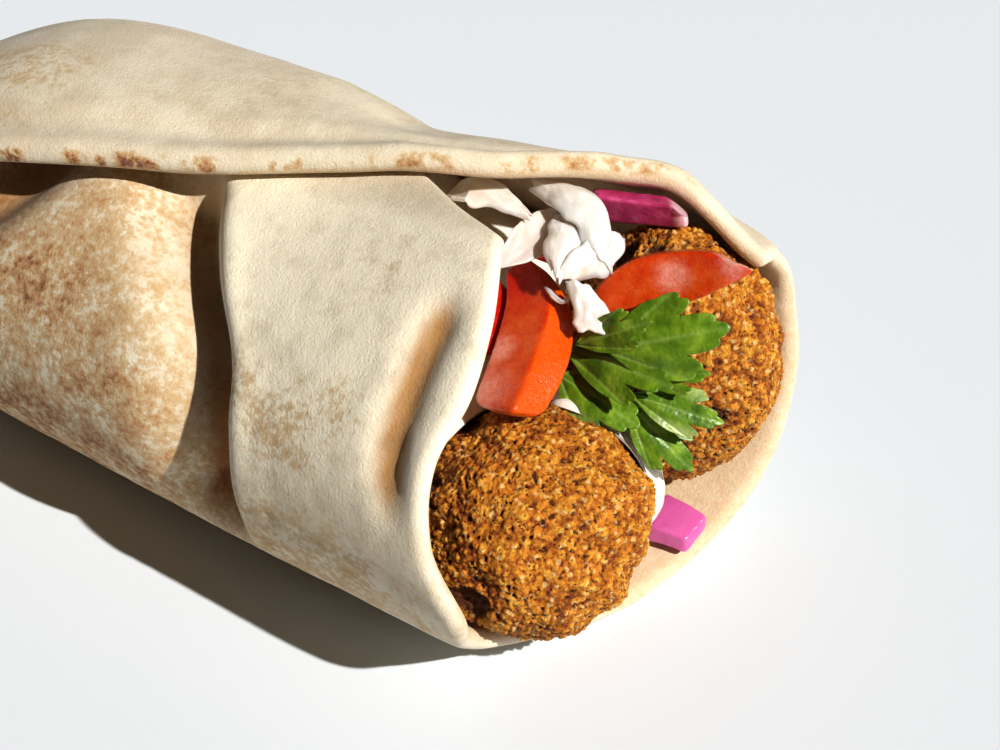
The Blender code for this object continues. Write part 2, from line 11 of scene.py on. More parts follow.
import bpy
import numpy as np
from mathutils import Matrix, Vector


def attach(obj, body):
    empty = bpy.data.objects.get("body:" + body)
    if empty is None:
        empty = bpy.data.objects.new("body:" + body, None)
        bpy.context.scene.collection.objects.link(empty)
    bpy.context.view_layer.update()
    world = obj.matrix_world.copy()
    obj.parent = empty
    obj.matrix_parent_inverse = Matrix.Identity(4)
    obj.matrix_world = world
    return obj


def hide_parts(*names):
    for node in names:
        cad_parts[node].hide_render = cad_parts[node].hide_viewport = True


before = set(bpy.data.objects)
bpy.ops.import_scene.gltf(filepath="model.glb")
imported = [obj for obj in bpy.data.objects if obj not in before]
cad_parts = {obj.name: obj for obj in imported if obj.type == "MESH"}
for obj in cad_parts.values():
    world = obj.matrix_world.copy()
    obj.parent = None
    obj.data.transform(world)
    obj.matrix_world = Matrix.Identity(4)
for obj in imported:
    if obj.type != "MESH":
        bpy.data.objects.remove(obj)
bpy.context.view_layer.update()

MM = 0.001

# The view and the light
LENS, SENSOR = 103.68, 36.0
AIM = (0.04555, 0.01204, 0.02437)
VIEW_AZIMUTH, VIEW_ELEVATION, VIEW_DISTANCE = 35.0, 40.0, 0.48
SUN_FROM = (1.04, -0.137, 1.0)
SUN_STRENGTH, SUN_SPREAD = 5.1, 1.2
SUN_COLOUR = (1.0, 0.985, 0.955)
SKY_COLOUR = (0.022, 0.014, 0.009, 1.0)
DISPLAY_GAMMA = 0.8
FILL_FROM, FILL_DISTANCE, FILL_SIZE, FILL_POWER = (0.5, 0.75, 0.50), 1.2, 0.9, 0.8
FILL_COLOUR = (0.95, 0.97, 1.0)
TABLE_HALF, TABLE_Z = 3.0, -0.0002
TABLE_COLOUR, TABLE_ROUGHNESS = (0.745, 0.780, 0.822, 1.0), 0.6

# The sheet of bread. A reach is a start, the rise after it, an end and the fall before it.
BREAD_THICKNESS = 4.0
BREAD_INSET = 0.08
LAYER_GAP = 0.8
UNDERSIDE_PRESS = 1.2
TAIL_X, CLOSING_X = -90.0, -22.0
CLOSED_HALF_HEIGHT, CLOSED_WIDTH_LOSS, CLOSING_POWER = 0.5, 0.3, 2.4
HALF_WIDTH, HALF_WIDTH_SLOPE = 36.9, 0.043
HALF_HEIGHT, HALF_HEIGHT_SLOPE = 27.2, 0.032
MOUTH_SWELL, MOUTH_SWELL_FROM, MOUTH_SWELL_OVER = 2.6, 19.0, 50.0
OVERLAP_FROM, OVERLAP_OVER = 296.0, 46.0
FLAP_LIFT, FLAP_LIFT_FROM, FLAP_LIFT_OVER, FLAP_LIFT_REACH = 2.2, 345.0, 35.0, (-86.0, 30.0, 15.0, 40.0)
FLAP_SINK, FLAP_SINK_FROM, FLAP_SINK_OVER = 0.7, 30.0, 28.0
MOUTH_RIM = [
    (6, 58.4), (26, 66.5), (41, 69.4), (60, 68.2), (83, 70.4), (109, 75.8), (128, 72.5),
    (149, 72.5), (183, 81.2), (221, 87.0), (250, 86.0), (278, 83.0), (306, 82.5),
]
INNER_EDGE = [(-90, -18), (36, -8), (47, 0), (58.4, 6)]
FLAP_EDGE = [
    (-90, 404), (-27, 391), (-10, 383), (6, 375), (20, 366), (32, 359), (47, 348),
    (56, 336), (66, 322), (75, 313.5), (82.5, 306),
]
VALLEY_LINE = [(5, 0), (16, 4.6), (33, 13), (50, 22), (72, 26), (91, 27.5), (125, 27.4)]
VALLEY_DEPTH, VALLEY_STEEP, VALLEY_GENTLE = 9.5, 3.4, 9.5
GROOVE_LINE = [(20, 59), (46, 60.4), (65, 61.7), (85, 65)]
GROOVE_DEPTH, GROOVE_WIDTH = 2.3, 3.0
TUCK_LINE = [(5, -25), (28, -29), (48, -36), (70, -44)]
TUCK_DEPTH, TUCK_WIDTH = 7.0, 8.0
CREASE_FADE_IN, CREASE_FADE_OUT = 12.0, 22.0
# How much lower the roll's far upper side is than its ellipse, by x, and between which angles
SLUMP = [
    (5, 0.0), (15, 1.4), (24, 3.0), (31, 2.8), (42, 1.1), (51, -0.2), (60, -1.0), (68, -1.6), (73, 0.6),
    (79, 3.3), (84, 4.6),
]
SLUMP_REACH = (272.0, 26.0, 354.0, 16.0)
CORNER_STEP, CORNER_REACH, CORNER_FROM_X, CORNER_OVER = 2.4, (268.0, 22.0, 304.0, 7.0), 68.0, 12.0
EDGE_PASSES = 8
# The room that the flap's rise gives ends this many degrees round from the sheet's first edge
FLAP_ROOM_END, FLAP_ROOM_OVER = 352.0, 6.0
WALL_SHIFTS = (-1.0, 0.0, 1.0)
ROUND_ROWS, LONG_ROWS = 330, 130
ROW_CROWDING, ROW_CROWD_AT = 0.30, 0.62
ROUND_LENGTH, LONG_LENGTH = 290.0, 170.0

# The fillings
FRONT_BALL = {"centre": (69.0, -13.0, 22.6), "radii": (18.5, 20.0, 17.6), "phase": 1.0}
REAR_BALL = {"centre": (71.8, 24.3, 33.4), "radii": (18.0, 15.2, 23.2), "phase": 4.0}
BALL_LUMPS = 0.9
BALL_ROOM = 1.0
WALL_CLEARANCE = 0.7
BALL_GRID = (250, 380)
BALL_POLE = (0.819, 0.574, 0.0)


# Eases, curves through points and noise, all on whole arrays

def ease(value):
    value = np.clip(value, 0.0, 1.0)
    return value * value * (3.0 - 2.0 * value)


def between(value, start, rise, end, fall):
    """Eases up from 0 to 1 over the rise past the start, and down again over the fall before the end."""
    return ease((value - start) / rise) * ease((end - value) / fall)


def hump(value, middle, width):
    return np.exp(-(((value - middle) / width) ** 2))


def unit(vectors):
    return vectors / np.maximum(np.linalg.norm(vectors, axis=-1, keepdims=True), 1e-12)


def smooth_through(points, at):
    """A cubic through (key, value) points whose slopes are those of the neighbouring points."""
    keys, values = np.array(points, float).T
    slopes = np.gradient(values, keys)
    at = np.clip(at, keys[0], keys[-1])
    i = np.clip(np.searchsorted(keys, at) - 1, 0, len(keys) - 2)
    span = keys[i + 1] - keys[i]
    t = (at - keys[i]) / span
    start = (1 + 2 * t) * (1 - t) ** 2 * values[i] + t * (1 - t) ** 2 * span * slopes[i]
    end = t * t * (3 - 2 * t) * values[i + 1] - t * t * (1 - t) * span * slopes[i + 1]
    return start + end


def path_through(points, at):
    """The same cubic for points in space, evenly keyed from 0 to 1."""
    points = np.array(points, float)
    keys = np.linspace(0, 1, len(points))
    return np.stack([smooth_through(list(zip(keys, axis)), at) for axis in points.T], -1)


def hashed(cells, seed):
    """A repeatable value from 0 to 1 for each whole-number cell."""
    x, y, z = (cells[..., k].astype(np.int64).astype(np.uint64) for k in range(3))
    mixed = x * np.uint64(73856093) ^ y * np.uint64(19349663) ^ z * np.uint64(83492791)
    mixed = mixed ^ np.uint64(seed * 7919 + 17)
    for shift in (33, 29, 32):
        mixed = (mixed ^ (mixed >> np.uint64(shift))) * np.uint64(0xFF51AFD7ED558CCD)
    return (mixed >> np.uint64(40)).astype(float) / float(1 << 24)


def soft_noise(points, seed=0):
    """Value noise: random heights on a lattice of 1, eased between, from -1 to 1."""
    base = np.floor(points)
    part = ease(points - base)
    total = np.zeros(points.shape[:-1])
    for corner in np.ndindex(2, 2, 2):
        share = np.prod(np.where(np.array(corner) == 1, part, 1 - part), axis=-1)
        total += share * hashed(base + np.array(corner), seed)
    return 2 * total - 1


def layered_noise(points, layers=4, seed=0, fall=0.5):
    total, weight = 0.0, 0.0
    for k in range(layers):
        total = total + fall**k * soft_noise(points * 2.03**k + 17.3 * k, seed + k)
        weight += fall**k
    return total / weight


def cell_noise(points, seed=0):
    """Distances to the nearest two random points, one point to each cell of 1, and the nearest one's value."""
    base = np.floor(points)
    first = np.full(points.shape[:-1], 9.0)
    second = first.copy()
    value = np.zeros_like(first)
    for shift in np.ndindex(3, 3, 3):
        cell = base + np.array(shift) - 1
        spot = cell + np.stack([hashed(cell, seed + k) for k in range(3)], -1)
        away = np.linalg.norm(points - spot, axis=-1)
        nearer = away < first
        second = np.where(nearer, first, np.minimum(second, away))
        value = np.where(nearer, hashed(cell, seed + 3), value)
        first = np.where(nearer, away, first)
    return first, second, value


# The roll: the space inside it and the sheet round it

def hollow_size(x):
    """Half width and half height of the space inside the roll, which closes flat towards the tail."""
    closing = np.clip((CLOSING_X - x) / (CLOSING_X - TAIL_X), 0.0, 1.0)
    half_width = (HALF_WIDTH + HALF_WIDTH_SLOPE * x) * (1 - CLOSED_WIDTH_LOSS * closing**2)
    swell = MOUTH_SWELL * ease((x - MOUTH_SWELL_FROM) / MOUTH_SWELL_OVER)
    half_height = (HALF_HEIGHT + HALF_HEIGHT_SLOPE * x + swell) * (1 - closing**CLOSING_POWER)
    return half_width, half_height + CLOSED_HALF_HEIGHT


def hollow_middle(x):
    return hollow_size(x)[1] + BREAD_THICKNESS - UNDERSIDE_PRESS


def hollow_point(angle, x):
    """A point of the bread's inner surface before creases: an ellipse at each x, met at an angle in degrees."""
    half_width, half_height = hollow_size(x)
    turn = np.radians(angle)
    round_turn = np.arctan2(np.sqrt(half_width) * np.sin(turn), np.sqrt(half_height) * np.cos(turn))
    y = -half_width * np.sin(round_turn)
    z = half_height * np.cos(round_turn) + hollow_middle(x)
    return np.stack(np.broadcast_arrays(x, y, z), -1)


def hollow_normal(angle, x):
    step = 0.25
    along_angle = hollow_point(angle + step, x) - hollow_point(angle - step, x)
    along_x = hollow_point(angle, x + step) - hollow_point(angle, x - step)
    return unit(np.cross(along_angle, along_x))


def crease(angle, x, line, depth, steep, gentle):
    """How far a crease presses in: a hump across its line that fades over the ends of the line."""
    across = x - smooth_through(line, angle)
    fade = between(angle, line[0][0], CREASE_FADE_IN, line[-1][0], CREASE_FADE_OUT)
    return depth * fade * hump(across, 0.0, np.where(across > 0, steep, gentle))


def dent(angle, x):
    valley = crease(angle, x, VALLEY_LINE, VALLEY_DEPTH, VALLEY_STEEP, VALLEY_GENTLE)
    groove = crease(angle, x, GROOVE_LINE, GROOVE_DEPTH, GROOVE_WIDTH, GROOVE_WIDTH)
    tuck = crease(angle, x, TUCK_LINE, TUCK_DEPTH, TUCK_WIDTH, TUCK_WIDTH)
    return valley + groove + tuck + between(angle, *SLUMP_REACH) * smooth_through(SLUMP, x)


def overlap(angle, x):
    """How far the sheet stands off the hollow where it climbs over its own first edge."""
    sink = 1 - FLAP_SINK * ease((x - FLAP_SINK_FROM) / FLAP_SINK_OVER)
    climb = (BREAD_THICKNESS + LAYER_GAP) * ease((angle - OVERLAP_FROM) / OVERLAP_OVER) * sink
    lift = FLAP_LIFT * ease((angle - FLAP_LIFT_FROM) / FLAP_LIFT_OVER) * between(x, *FLAP_LIFT_REACH)
    corner = between(angle, *CORNER_REACH) * ease((x - CORNER_FROM_X) / CORNER_OVER)
    return climb + lift + CORNER_STEP * corner


def sheet_place(a, b):
    """Angle and x of the sheet at a, 0 to 1 round the roll, and b, 0 to 1 from the tail to the mouth."""
    end_x = np.full_like(a, MOUTH_RIM[-1][1])
    for _ in range(EDGE_PASSES):
        first, last = smooth_through(INNER_EDGE, end_x), smooth_through(FLAP_EDGE, end_x)
        end_x = smooth_through(MOUTH_RIM, first + (last - first) * a)
    crowded = np.sin(2 * np.pi * (b - ROW_CROWD_AT)) + np.sin(2 * np.pi * ROW_CROWD_AT)
    x = TAIL_X + (end_x - TAIL_X) * (b - ROW_CROWDING / (2 * np.pi) * crowded)
    first, last = smooth_through(INNER_EDGE, x), smooth_through(FLAP_EDGE, x)
    return first + (last - first) * a, x


def inside_bread(points, clearance):
    """Moves points that are outside the hollow, or nearer its wall than the clearance, back inside it."""
    x, y, z = points[..., 0], points[..., 1], points[..., 2]
    half_width, half_height = hollow_size(x)
    across, up = -y / half_width, (z - hollow_middle(x)) / half_height
    turn = np.arctan2(across, up)
    flat_turn = np.arctan2(np.sin(turn) / np.sqrt(half_width), np.cos(turn) / np.sqrt(half_height))
    angle = np.degrees(flat_turn) % 360
    wall = np.hypot(half_width * np.sin(turn), half_height * np.cos(turn))
    raised = ease((smooth_through(INNER_EDGE, x) + FLAP_ROOM_END - angle) / FLAP_ROOM_OVER)
    pressed = np.max([dent(angle, x + shift) for shift in WALL_SHIFTS], axis=0)
    most = 1 + (overlap(angle, x) * raised - pressed - clearance) / wall
    share = np.minimum(1.0, most / np.maximum(np.hypot(across, up), 1e-6))
    return np.stack([x, y * share, hollow_middle(x) + (z - hollow_middle(x)) * share], -1)


def out_of_ball(points, ball, room):
    """Moves points that are inside a ball, or nearer to it than the room, out to that distance."""
    radii = np.array(ball["radii"]) + room
    away = (points - np.array(ball["centre"])) / radii
    reach = np.linalg.norm(away, axis=-1, keepdims=True)
    return np.array(ball["centre"]) + away / np.maximum(reach, 1e-6) * np.maximum(reach, 1.0) * radii


# Meshes from grids of points

def squares(number):
    """Corner numbers of the squares of a grid whose points have these numbers."""
    return np.stack([number[:-1, :-1], number[1:, :-1], number[1:, 1:], number[:-1, 1:]], -1).reshape(-1, 4)


def volume(points, faces):
    """The space a closed surface holds, as fans of tetrahedra from the origin: below 0 where it is inside out."""
    total = 0.0
    for k in range(1, faces.shape[1] - 1):
        corners = points[faces[:, 0]], points[faces[:, k]], points[faces[:, k + 1]]
        total += np.einsum("ij,ij->", corners[0], np.cross(corners[1], corners[2])) / 6
    return total


def add_object(name, data, at=(0.0, 0.0, 0.0)):
    obj = bpy.data.objects.new(name, data)
    obj.location = at
    bpy.context.scene.collection.objects.link(obj)
    return obj


def fill_mesh(name, points, faces, marks, look, place=None):
    """Makes the object: points in millimetres, lists of faces as corner numbers, and named values for each point."""
    if sum(volume(points, part) for part in faces) < 0:
        faces = [part[:, ::-1] for part in faces]
    corners = np.concatenate([part.ravel() for part in faces]).astype(np.int32)
    sizes = np.concatenate([np.full(len(part), part.shape[1]) for part in faces])
    mesh = bpy.data.meshes.new(name)
    mesh.vertices.add(len(points))
    mesh.vertices.foreach_set("co", (np.asarray(points, float) * MM).ravel())
    mesh.loops.add(len(corners))
    mesh.loops.foreach_set("vertex_index", corners)
    mesh.polygons.add(len(sizes))
    mesh.polygons.foreach_set("loop_start", (np.cumsum(sizes) - sizes).astype(np.int32))
    mesh.update(calc_edges=True)
    mesh.validate()
    for key, values in marks.items():
        mesh.attributes.new(key, "FLOAT", "POINT").data.foreach_set("value", np.asarray(values, float).ravel())
    if place is not None:
        mesh.uv_layers.new(name="sheet").data.foreach_set("uv", place[corners].ravel())
    mesh.shade_smooth()
    mesh.materials.append(look)
    return add_object(name, mesh)


def stand_in(obj, slot, *nodes):
    """The piece takes its nodes' place and rides on the part's one body. The slot is not used."""
    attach(obj, "root")
    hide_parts(*nodes)


def sheet_faces(rows, columns):
    """Faces of a sheet's two sides, which share the points round the edge."""
    top = np.arange(rows * columns).reshape(rows, columns)
    under = top + rows * columns
    for edge in (np.s_[0, :], np.s_[-1, :], np.s_[:, 0], np.s_[:, -1]):
        under[edge] = top[edge]
    return np.concatenate([squares(top), squares(under)[:, ::-1]])


def sheet_object(name, middle, half, normals, marks, look, place, lift=0.0):
    """A closed sheet: its middle surface moved out by half its thickness to each side, which is 0 round the edge."""
    rows, columns = middle.shape[:2]
    top = middle + normals * (half + lift)[..., None]
    under = middle - normals * half[..., None]
    faces = sheet_faces(rows, columns)
    used = np.unique(faces)
    renumber = np.zeros(2 * rows * columns, int)
    renumber[used] = np.arange(len(used))
    points = np.concatenate([top.reshape(-1, 3), under.reshape(-1, 3)])[used]
    points[:, 2] = np.maximum(points[:, 2], 0.0)
    marks = {key: np.concatenate([np.ravel(side) for side in pair])[used] for key, pair in marks.items()}
    place = np.concatenate([place.reshape(-1, 2)] * 2)[used]
    return fill_mesh(name, points, [renumber[faces]], marks, look, place)


def rounded_rows(steps, length, radius, rows=5):
    """Shares from 0 to 1 with extra rows near both ends, for a rounded edge of the given radius."""
    near = (1 - np.cos(np.linspace(0, math.pi / 2, rows + 1)[:-1])) * radius / length
    return np.concatenate([near, np.linspace(radius / length, 1 - radius / length, steps), (1 - near)[::-1]])


def rounded_half(distance, radius, half):
    """Half thickness at a distance from the edge: a half circle's profile up to the radius, then constant."""
    share = np.clip(distance / radius, 0, 1)
    return half * np.sqrt(np.maximum(1 - (1 - share) ** 2, 0))


def ball_object(name, points, marks, look):
    """A closed surface from a grid whose first and last rows are single points and whose columns join round."""
    columns = points.shape[1]
    inner = points[1:-1].reshape(-1, 3)
    ends = np.stack([points[0].mean(0), points[-1].mean(0)])
    number = np.arange(len(inner)).reshape(-1, columns)
    first, last = number[0], number[-1]
    top = np.stack([np.full(columns, len(inner)), first, np.roll(first, -1)], -1)
    under = np.stack([np.full(columns, len(inner) + 1), np.roll(last, -1), last], -1)
    faces = [squares(np.hstack([number, number[:, :1]])), np.concatenate([top, under])]
    marks = {
        key: np.concatenate([value[1:-1].ravel(), [value[0].mean(), value[-1].mean()]])
        for key, value in marks.items()
    }
    return fill_mesh(name, np.concatenate([inner, ends]), faces, marks, look)


def round_directions(rows, columns, pole=(0.0, 0.0, 1.0)):
    """Unit vectors over a sphere, row by row from one pole to the other."""
    pole = unit(np.array(pole, float))
    side = unit(np.cross(pole, (0.0, 0.0, 1.0) if abs(pole[2]) < 0.9 else (1.0, 0.0, 0.0)))
    other = np.cross(pole, side)
    down = np.linspace(0, math.pi, rows)[:, None, None]
    turn = np.linspace(0, 2 * math.pi, columns, endpoint=False)[None, :, None]
    return np.cos(down) * pole + np.sin(down) * (np.cos(turn) * side + np.sin(turn) * other)


# Materials: a socket wrapped so that sums on it add Math nodes

class Value:
    """A number that varies over a surface: an output socket of a material's nodes."""

    def __init__(self, look, socket):
        self.look, self.socket = look, socket

    def math(self, operation, *values):
        return self.look.node("ShaderNodeMath", {"operation": operation}, values)

    def __add__(self, other):
        return self.math("ADD", self, other)

    def __mul__(self, other):
        return self.math("MULTIPLY", self, other)

    def __sub__(self, other):
        return self.math("SUBTRACT", self, other)

    def __rsub__(self, other):
        return self.math("SUBTRACT", other, self)

    __radd__ = __add__

    def step(self, low, high, to_low=0.0, to_high=1.0):
        """Eases from to_low, at or below low, to to_high, at or above high."""
        return self.look.node(
            "ShaderNodeMapRange", {"interpolation_type": "SMOOTHSTEP"}, (self, low, high, to_low, to_high)
        )


class Look:
    """A material being put together. Lengths in its patterns are in millimetres."""

    def __init__(self, name):
        self.material = bpy.data.materials.new(name)
        self.material.use_nodes = True
        self.tree = self.material.node_tree
        self.shader = self.tree.nodes["Principled BSDF"]
        self.place = self.node("ShaderNodeTexCoord", output="Object")
        self.millimetres = self.scaled(1 / MM)

    def node(self, kind, settings=None, values=(), output=0):
        """Adds a node: settings first, then the values or links of its sockets, by order or by name."""
        made = self.tree.nodes.new(kind)
        for key, setting in (settings or {}).items():
            if key == "stops":
                self.set_stops(made.color_ramp, setting)
            else:
                setattr(made, key, setting)
        pairs = values.items() if isinstance(values, dict) else enumerate(values)
        for key, value in pairs:
            if isinstance(value, Value):
                self.tree.links.new(value.socket, made.inputs[key])
            else:
                made.inputs[key].default_value = value
        return Value(self, made.outputs[output])

    def set_stops(self, ramp, stops):
        while len(ramp.elements) < len(stops):
            ramp.elements.new(0.5)
        for element, (position, colour) in zip(ramp.elements, stops):
            element.position = position
            element.color = (*colour, 1.0)

    def scaled(self, size, source=None):
        size = (size,) * 3 if np.isscalar(size) else size
        settings = {"operation": "MULTIPLY"}
        return self.node("ShaderNodeVectorMath", settings, (source or self.place, size))

    def noise(self, size, detail=3.0, rough=0.55, distort=0.0, source=None):
        """Cloudy noise with features of about size millimetres."""
        values = {
            "Vector": source or self.millimetres, "Scale": 1 / size, "Detail": detail,
            "Roughness": rough, "Distortion": distort,
        }
        return self.node("ShaderNodeTexNoise", None, values)

    def cells(self, size, source=None, output="Distance"):
        values = {"Vector": source or self.millimetres, "Scale": 1 / size}
        return self.node("ShaderNodeTexVoronoi", None, values, output)

    def bent(self, size, amount):
        """Places in millimetres, moved about by noise so that cells on them get ragged outlines."""
        values = {"Vector": self.millimetres, "Scale": 1 / size, "Detail": 2.0}
        colour = self.node("ShaderNodeTexNoise", None, values, "Color")
        moved = self.node("ShaderNodeVectorMath", {"operation": "MULTIPLY"}, (colour, (amount,) * 3))
        return self.node("ShaderNodeVectorMath", {"operation": "ADD"}, (self.millimetres, moved))

    def mark(self, name):
        return self.node("ShaderNodeAttribute", {"attribute_name": name}, output="Fac")

    def sheet(self):
        """The piece's own UV map, in millimetres along and round it."""
        return self.scaled(100.0, self.node("ShaderNodeUVMap", {"uv_map": "sheet"}))

    def ramp(self, value, *stops):
        return self.node("ShaderNodeValToRGB", {"stops": stops}, (value,))

    def mix(self, share, first, second, kind="MIX"):
        """A colour between two colours, each a link or three numbers."""
        colours = [c if isinstance(c, Value) else (*c, 1.0) for c in (first, second)]
        values = {0: share, 6: colours[0], 7: colours[1]}
        return self.node("ShaderNodeMix", {"data_type": "RGBA", "blend_type": kind}, values, 2)

    def bump(self, height, depth, strength):
        """A normal from a height that is 0 to 1 over a depth in millimetres."""
        return self.node("ShaderNodeBump", None, {"Strength": strength, "Distance": depth * MM, "Height": height})

    def finish(self, colour, roughness, normal=None, glow=None, **constants):
        """Joins up the shader. A glow is how much light goes in, and how many metres it goes by colour."""
        if glow:
            constants.update(Subsurface_Weight=glow[0], Subsurface_Radius=glow[1], Subsurface_Scale=1.0)
        for key, value in {"Base Color": colour, "Roughness": roughness, "Normal": normal}.items():
            if isinstance(value, Value):
                self.tree.links.new(value.socket, self.shader.inputs[key])
            elif value is not None:
                self.shader.inputs[key].default_value = value
        for key, value in constants.items():
            self.shader.inputs[key.replace("_", " ")].default_value = value
        return self.material


CREAM, LIGHT_CREAM, WARM_CREAM = (0.68, 0.58, 0.43), (0.76, 0.68, 0.53), (0.56, 0.38, 0.18)
PALE_CREAM, GREY_CREAM, INNER_CREAM = (0.90, 0.82, 0.65), (0.60, 0.52, 0.38), (0.70, 0.55, 0.37)
TOAST, DARK_TOAST = (0.44, 0.20, 0.055), (0.20, 0.055, 0.012)
FLOUR, CREASE_SHADE = (0.90, 0.86, 0.77), (0.48, 0.23, 0.03)
# From the darkest to the lightest crumb, as stops of a ramp
FRIED = [
    (0.14, (0.20, 0.040, 0.003)), (0.32, (0.47, 0.160, 0.010)), (0.48, (0.66, 0.295, 0.028)),
    (0.66, (0.82, 0.47, 0.075)), (0.88, (0.94, 0.74, 0.28)),
]
BROWN_GRAIN, LIGHT_GRAIN, HERB = (0.62, 0.17, 0.012), (0.93, 0.74, 0.36), (0.16, 0.17, 0.03)
SMALL_HOLE, DEEP_HOLE = (0.10, 0.020, 0.003), (0.075, 0.014, 0.002)
SAUCE, SAUCE_SHADE = (0.90, 0.86, 0.76), (0.88, 0.80, 0.70)
FLESH = [(0.30, (0.56, 0.035, 0.004)), (0.52, (0.68, 0.090, 0.008)), (0.78, (0.76, 0.18, 0.045))]
DEEP_FLESH, WET_FLESH = (0.50, 0.006, 0.001), (0.87, 0.42, 0.34)
TOMATO_WALL, WALL_SPECKS = (0.70, 0.105, 0.001), (0.86, 0.26, 0.006)
WHITE_LEAF = [(0.28, (0.70, 0.62, 0.52)), (0.50, (0.84, 0.80, 0.73)), (0.72, (0.90, 0.89, 0.85))]
TINTED_LEAF = (0.76, 0.62, 0.57)
RED_LEAF = [(0.30, (0.42, 0.03, 0.12)), (0.55, (0.64, 0.08, 0.25)), (0.8, (0.76, 0.24, 0.42))]
PALE_RED, VIVID_RED = (0.86, 0.62, 0.66), (0.62, 0.160, 0.42)
HERB_GREEN = [(0.30, (0.060, 0.130, 0.004)), (0.52, (0.150, 0.260, 0.012)), (0.78, (0.31, 0.43, 0.045))]
HERB_VEIN, HERB_PALE = (0.34, 0.46, 0.14), (0.62, 0.66, 0.34)


def bread_look():
    look = Look("flatbread crust")
    sheet = look.sheet()
    toast, inside, creased, pale = (look.mark(key) for key in ("toast", "inside", "crease", "pale"))
    cloud = look.noise(10.0, 4.0, 0.6)
    blotch = look.noise(4.4, 5.0, 0.62)
    fine = look.noise(1.2, 4.0, 0.65)
    flour = look.noise(0.42, 3.0, 0.7)
    base = look.mix(cloud.step(0.36, 0.64), CREAM, LIGHT_CREAM)
    # Painted light: the near panel between the valley and the mouth is painted paler, as if it caught more sun
    base = look.mix(pale, base, PALE_CREAM)
    base = look.mix(blotch.step(0.47, 0.70, 0.0, 0.40), base, GREY_CREAM)
    patch = toast * (0.92 + (blotch - 0.5) * 3.2 + (fine - 0.5) * 4.2 + (flour - 0.5) * 1.4)
    base = look.mix(patch.step(0.12, 0.60, 0.0, 0.85), base, WARM_CREAM)
    base = look.mix(patch.step(0.55, 1.25, 0.0, 0.85), base, TOAST)
    base = look.mix(patch.step(1.15, 1.75, 0.0, 0.9), base, DARK_TOAST)
    # Painted shade: the whole inner side is painted darker and warmer, for the warm shade inside the roll
    base = look.mix(inside * 0.70, base, INNER_CREAM)
    speck = look.cells(17.0)
    base = look.mix(speck.step(0.018, 0.030, 0.6, 0.0), base, DARK_TOAST)
    base = look.mix(flour.step(0.42, 0.75, 0.0, 0.25), base, FLOUR)
    # Painted shade: the creases are painted a darker brown, where shade falls
    base = look.mix(creased * 0.9, base, CREASE_SHADE, "MULTIPLY")
    fibres = look.noise(1.0, 3.0, 0.6, 0.4, look.scaled((0.6, 1.2, 1.0), sheet))
    height = fibres * 0.08 + fine * 0.37 + flour * 0.55
    normal = look.bump(height, 0.45, 0.65)
    glow = (0.06, (0.003, 0.0018, 0.001))
    return look.finish(base, 0.85, normal, glow, Sheen_Weight=0.10, Sheen_Roughness=0.6)


def falafel_look():
    look = Look("fried falafel")
    pit, tone = look.mark("pit"), look.mark("tone")
    bent = look.bent(0.8, 0.55)
    grain = look.cells(1.1, bent)
    grain_tint = look.node("ShaderNodeSeparateColor", None, (look.cells(1.1, bent, "Color"),))
    small_grain = look.cells(0.5, bent)
    crumb = look.noise(0.45, 4.0, 0.75)
    patch = look.noise(4.5, 3.0, 0.6)
    shade = tone * 0.34 + grain_tint * 0.28 + crumb * 0.62 + patch * 0.50
    base = look.ramp(shade - grain * 0.24 - small_grain * 0.12 - 0.24, *FRIED)
    base = look.mix(grain_tint.step(0.86, 0.92, 0.0, 0.35), base, BROWN_GRAIN)
    base = look.mix(look.cells(1.7, bent).step(0.16, 0.34, 0.5, 0.0), base, LIGHT_GRAIN)
    herb = look.noise(2.1, 2.0, 0.5, 0.6, look.scaled((1.0, 1.0, 1.9), look.millimetres))
    base = look.mix(herb.step(0.68, 0.73, 0.0, 0.5), base, HERB)
    fine_pit = look.cells(0.8, bent)
    holes = fine_pit.step(0.12, 0.30, 0.85, 0.0) * look.noise(2.0).step(0.42, 0.56)
    # Painted shade: small holes and the marked pits, crevices and low places are painted near black
    base = look.mix(holes, base, SMALL_HOLE)
    base = look.mix(pit.step(0.20, 0.95, 0.0, 0.92), base, DEEP_HOLE)
    height = (1.0 - grain) * 0.35 + (1.0 - small_grain) * 0.2 + crumb * 0.7 - holes * 0.6
    normal = look.bump(height, 0.60, 0.9)
    return look.finish(base, look.noise(0.9).step(0.3, 0.7, 0.38, 0.75), normal, Specular_IOR_Level=0.45)


def sauce_look():
    look = Look("white garlic sauce")
    base = look.mix(look.noise(6.0).step(0.4, 0.7), SAUCE, SAUCE_SHADE)
    normal = look.bump(look.noise(2.2, 3.0), 0.35, 0.5)
    return look.finish(base, 0.32, normal, (0.35, (0.003, 0.0025, 0.002)), Coat_Weight=0.15)


def tomato_look():
    look = Look("tomato flesh")
    wall, wet, deep = look.mark("wall"), look.mark("wet"), look.mark("deep")
    streak = look.noise(1.2, 4.0, 0.65, 0.5)
    flesh = look.ramp(look.noise(3.5, 4.0, 0.6), *FLESH)
    # Painted shade: flesh marked deep is painted dark red, for the pieces and ends that lie in shade
    flesh = look.mix(deep * 0.95, flesh, DEEP_FLESH)
    skin = look.mix(look.noise(0.5, 2.0).step(0.52, 0.75, 0.0, 0.5), TOMATO_WALL, WALL_SPECKS)
    base = look.mix(wall, flesh, skin)
    base = look.mix((wet * (streak + 0.35)).step(0.30, 0.95, 0.0, 0.8), base, WET_FLESH)
    glitter = look.noise(0.28, 2.0, 0.7)
    normal = look.bump(glitter * 0.5 + streak, 0.30, 0.6)
    rough = look.noise(0.8).step(0.35, 0.7, 0.12, 0.34)
    glow = (0.30, (0.004, 0.0012, 0.0006))
    return look.finish(base, rough, normal, glow, Coat_Weight=0.35, Coat_Roughness=0.12)


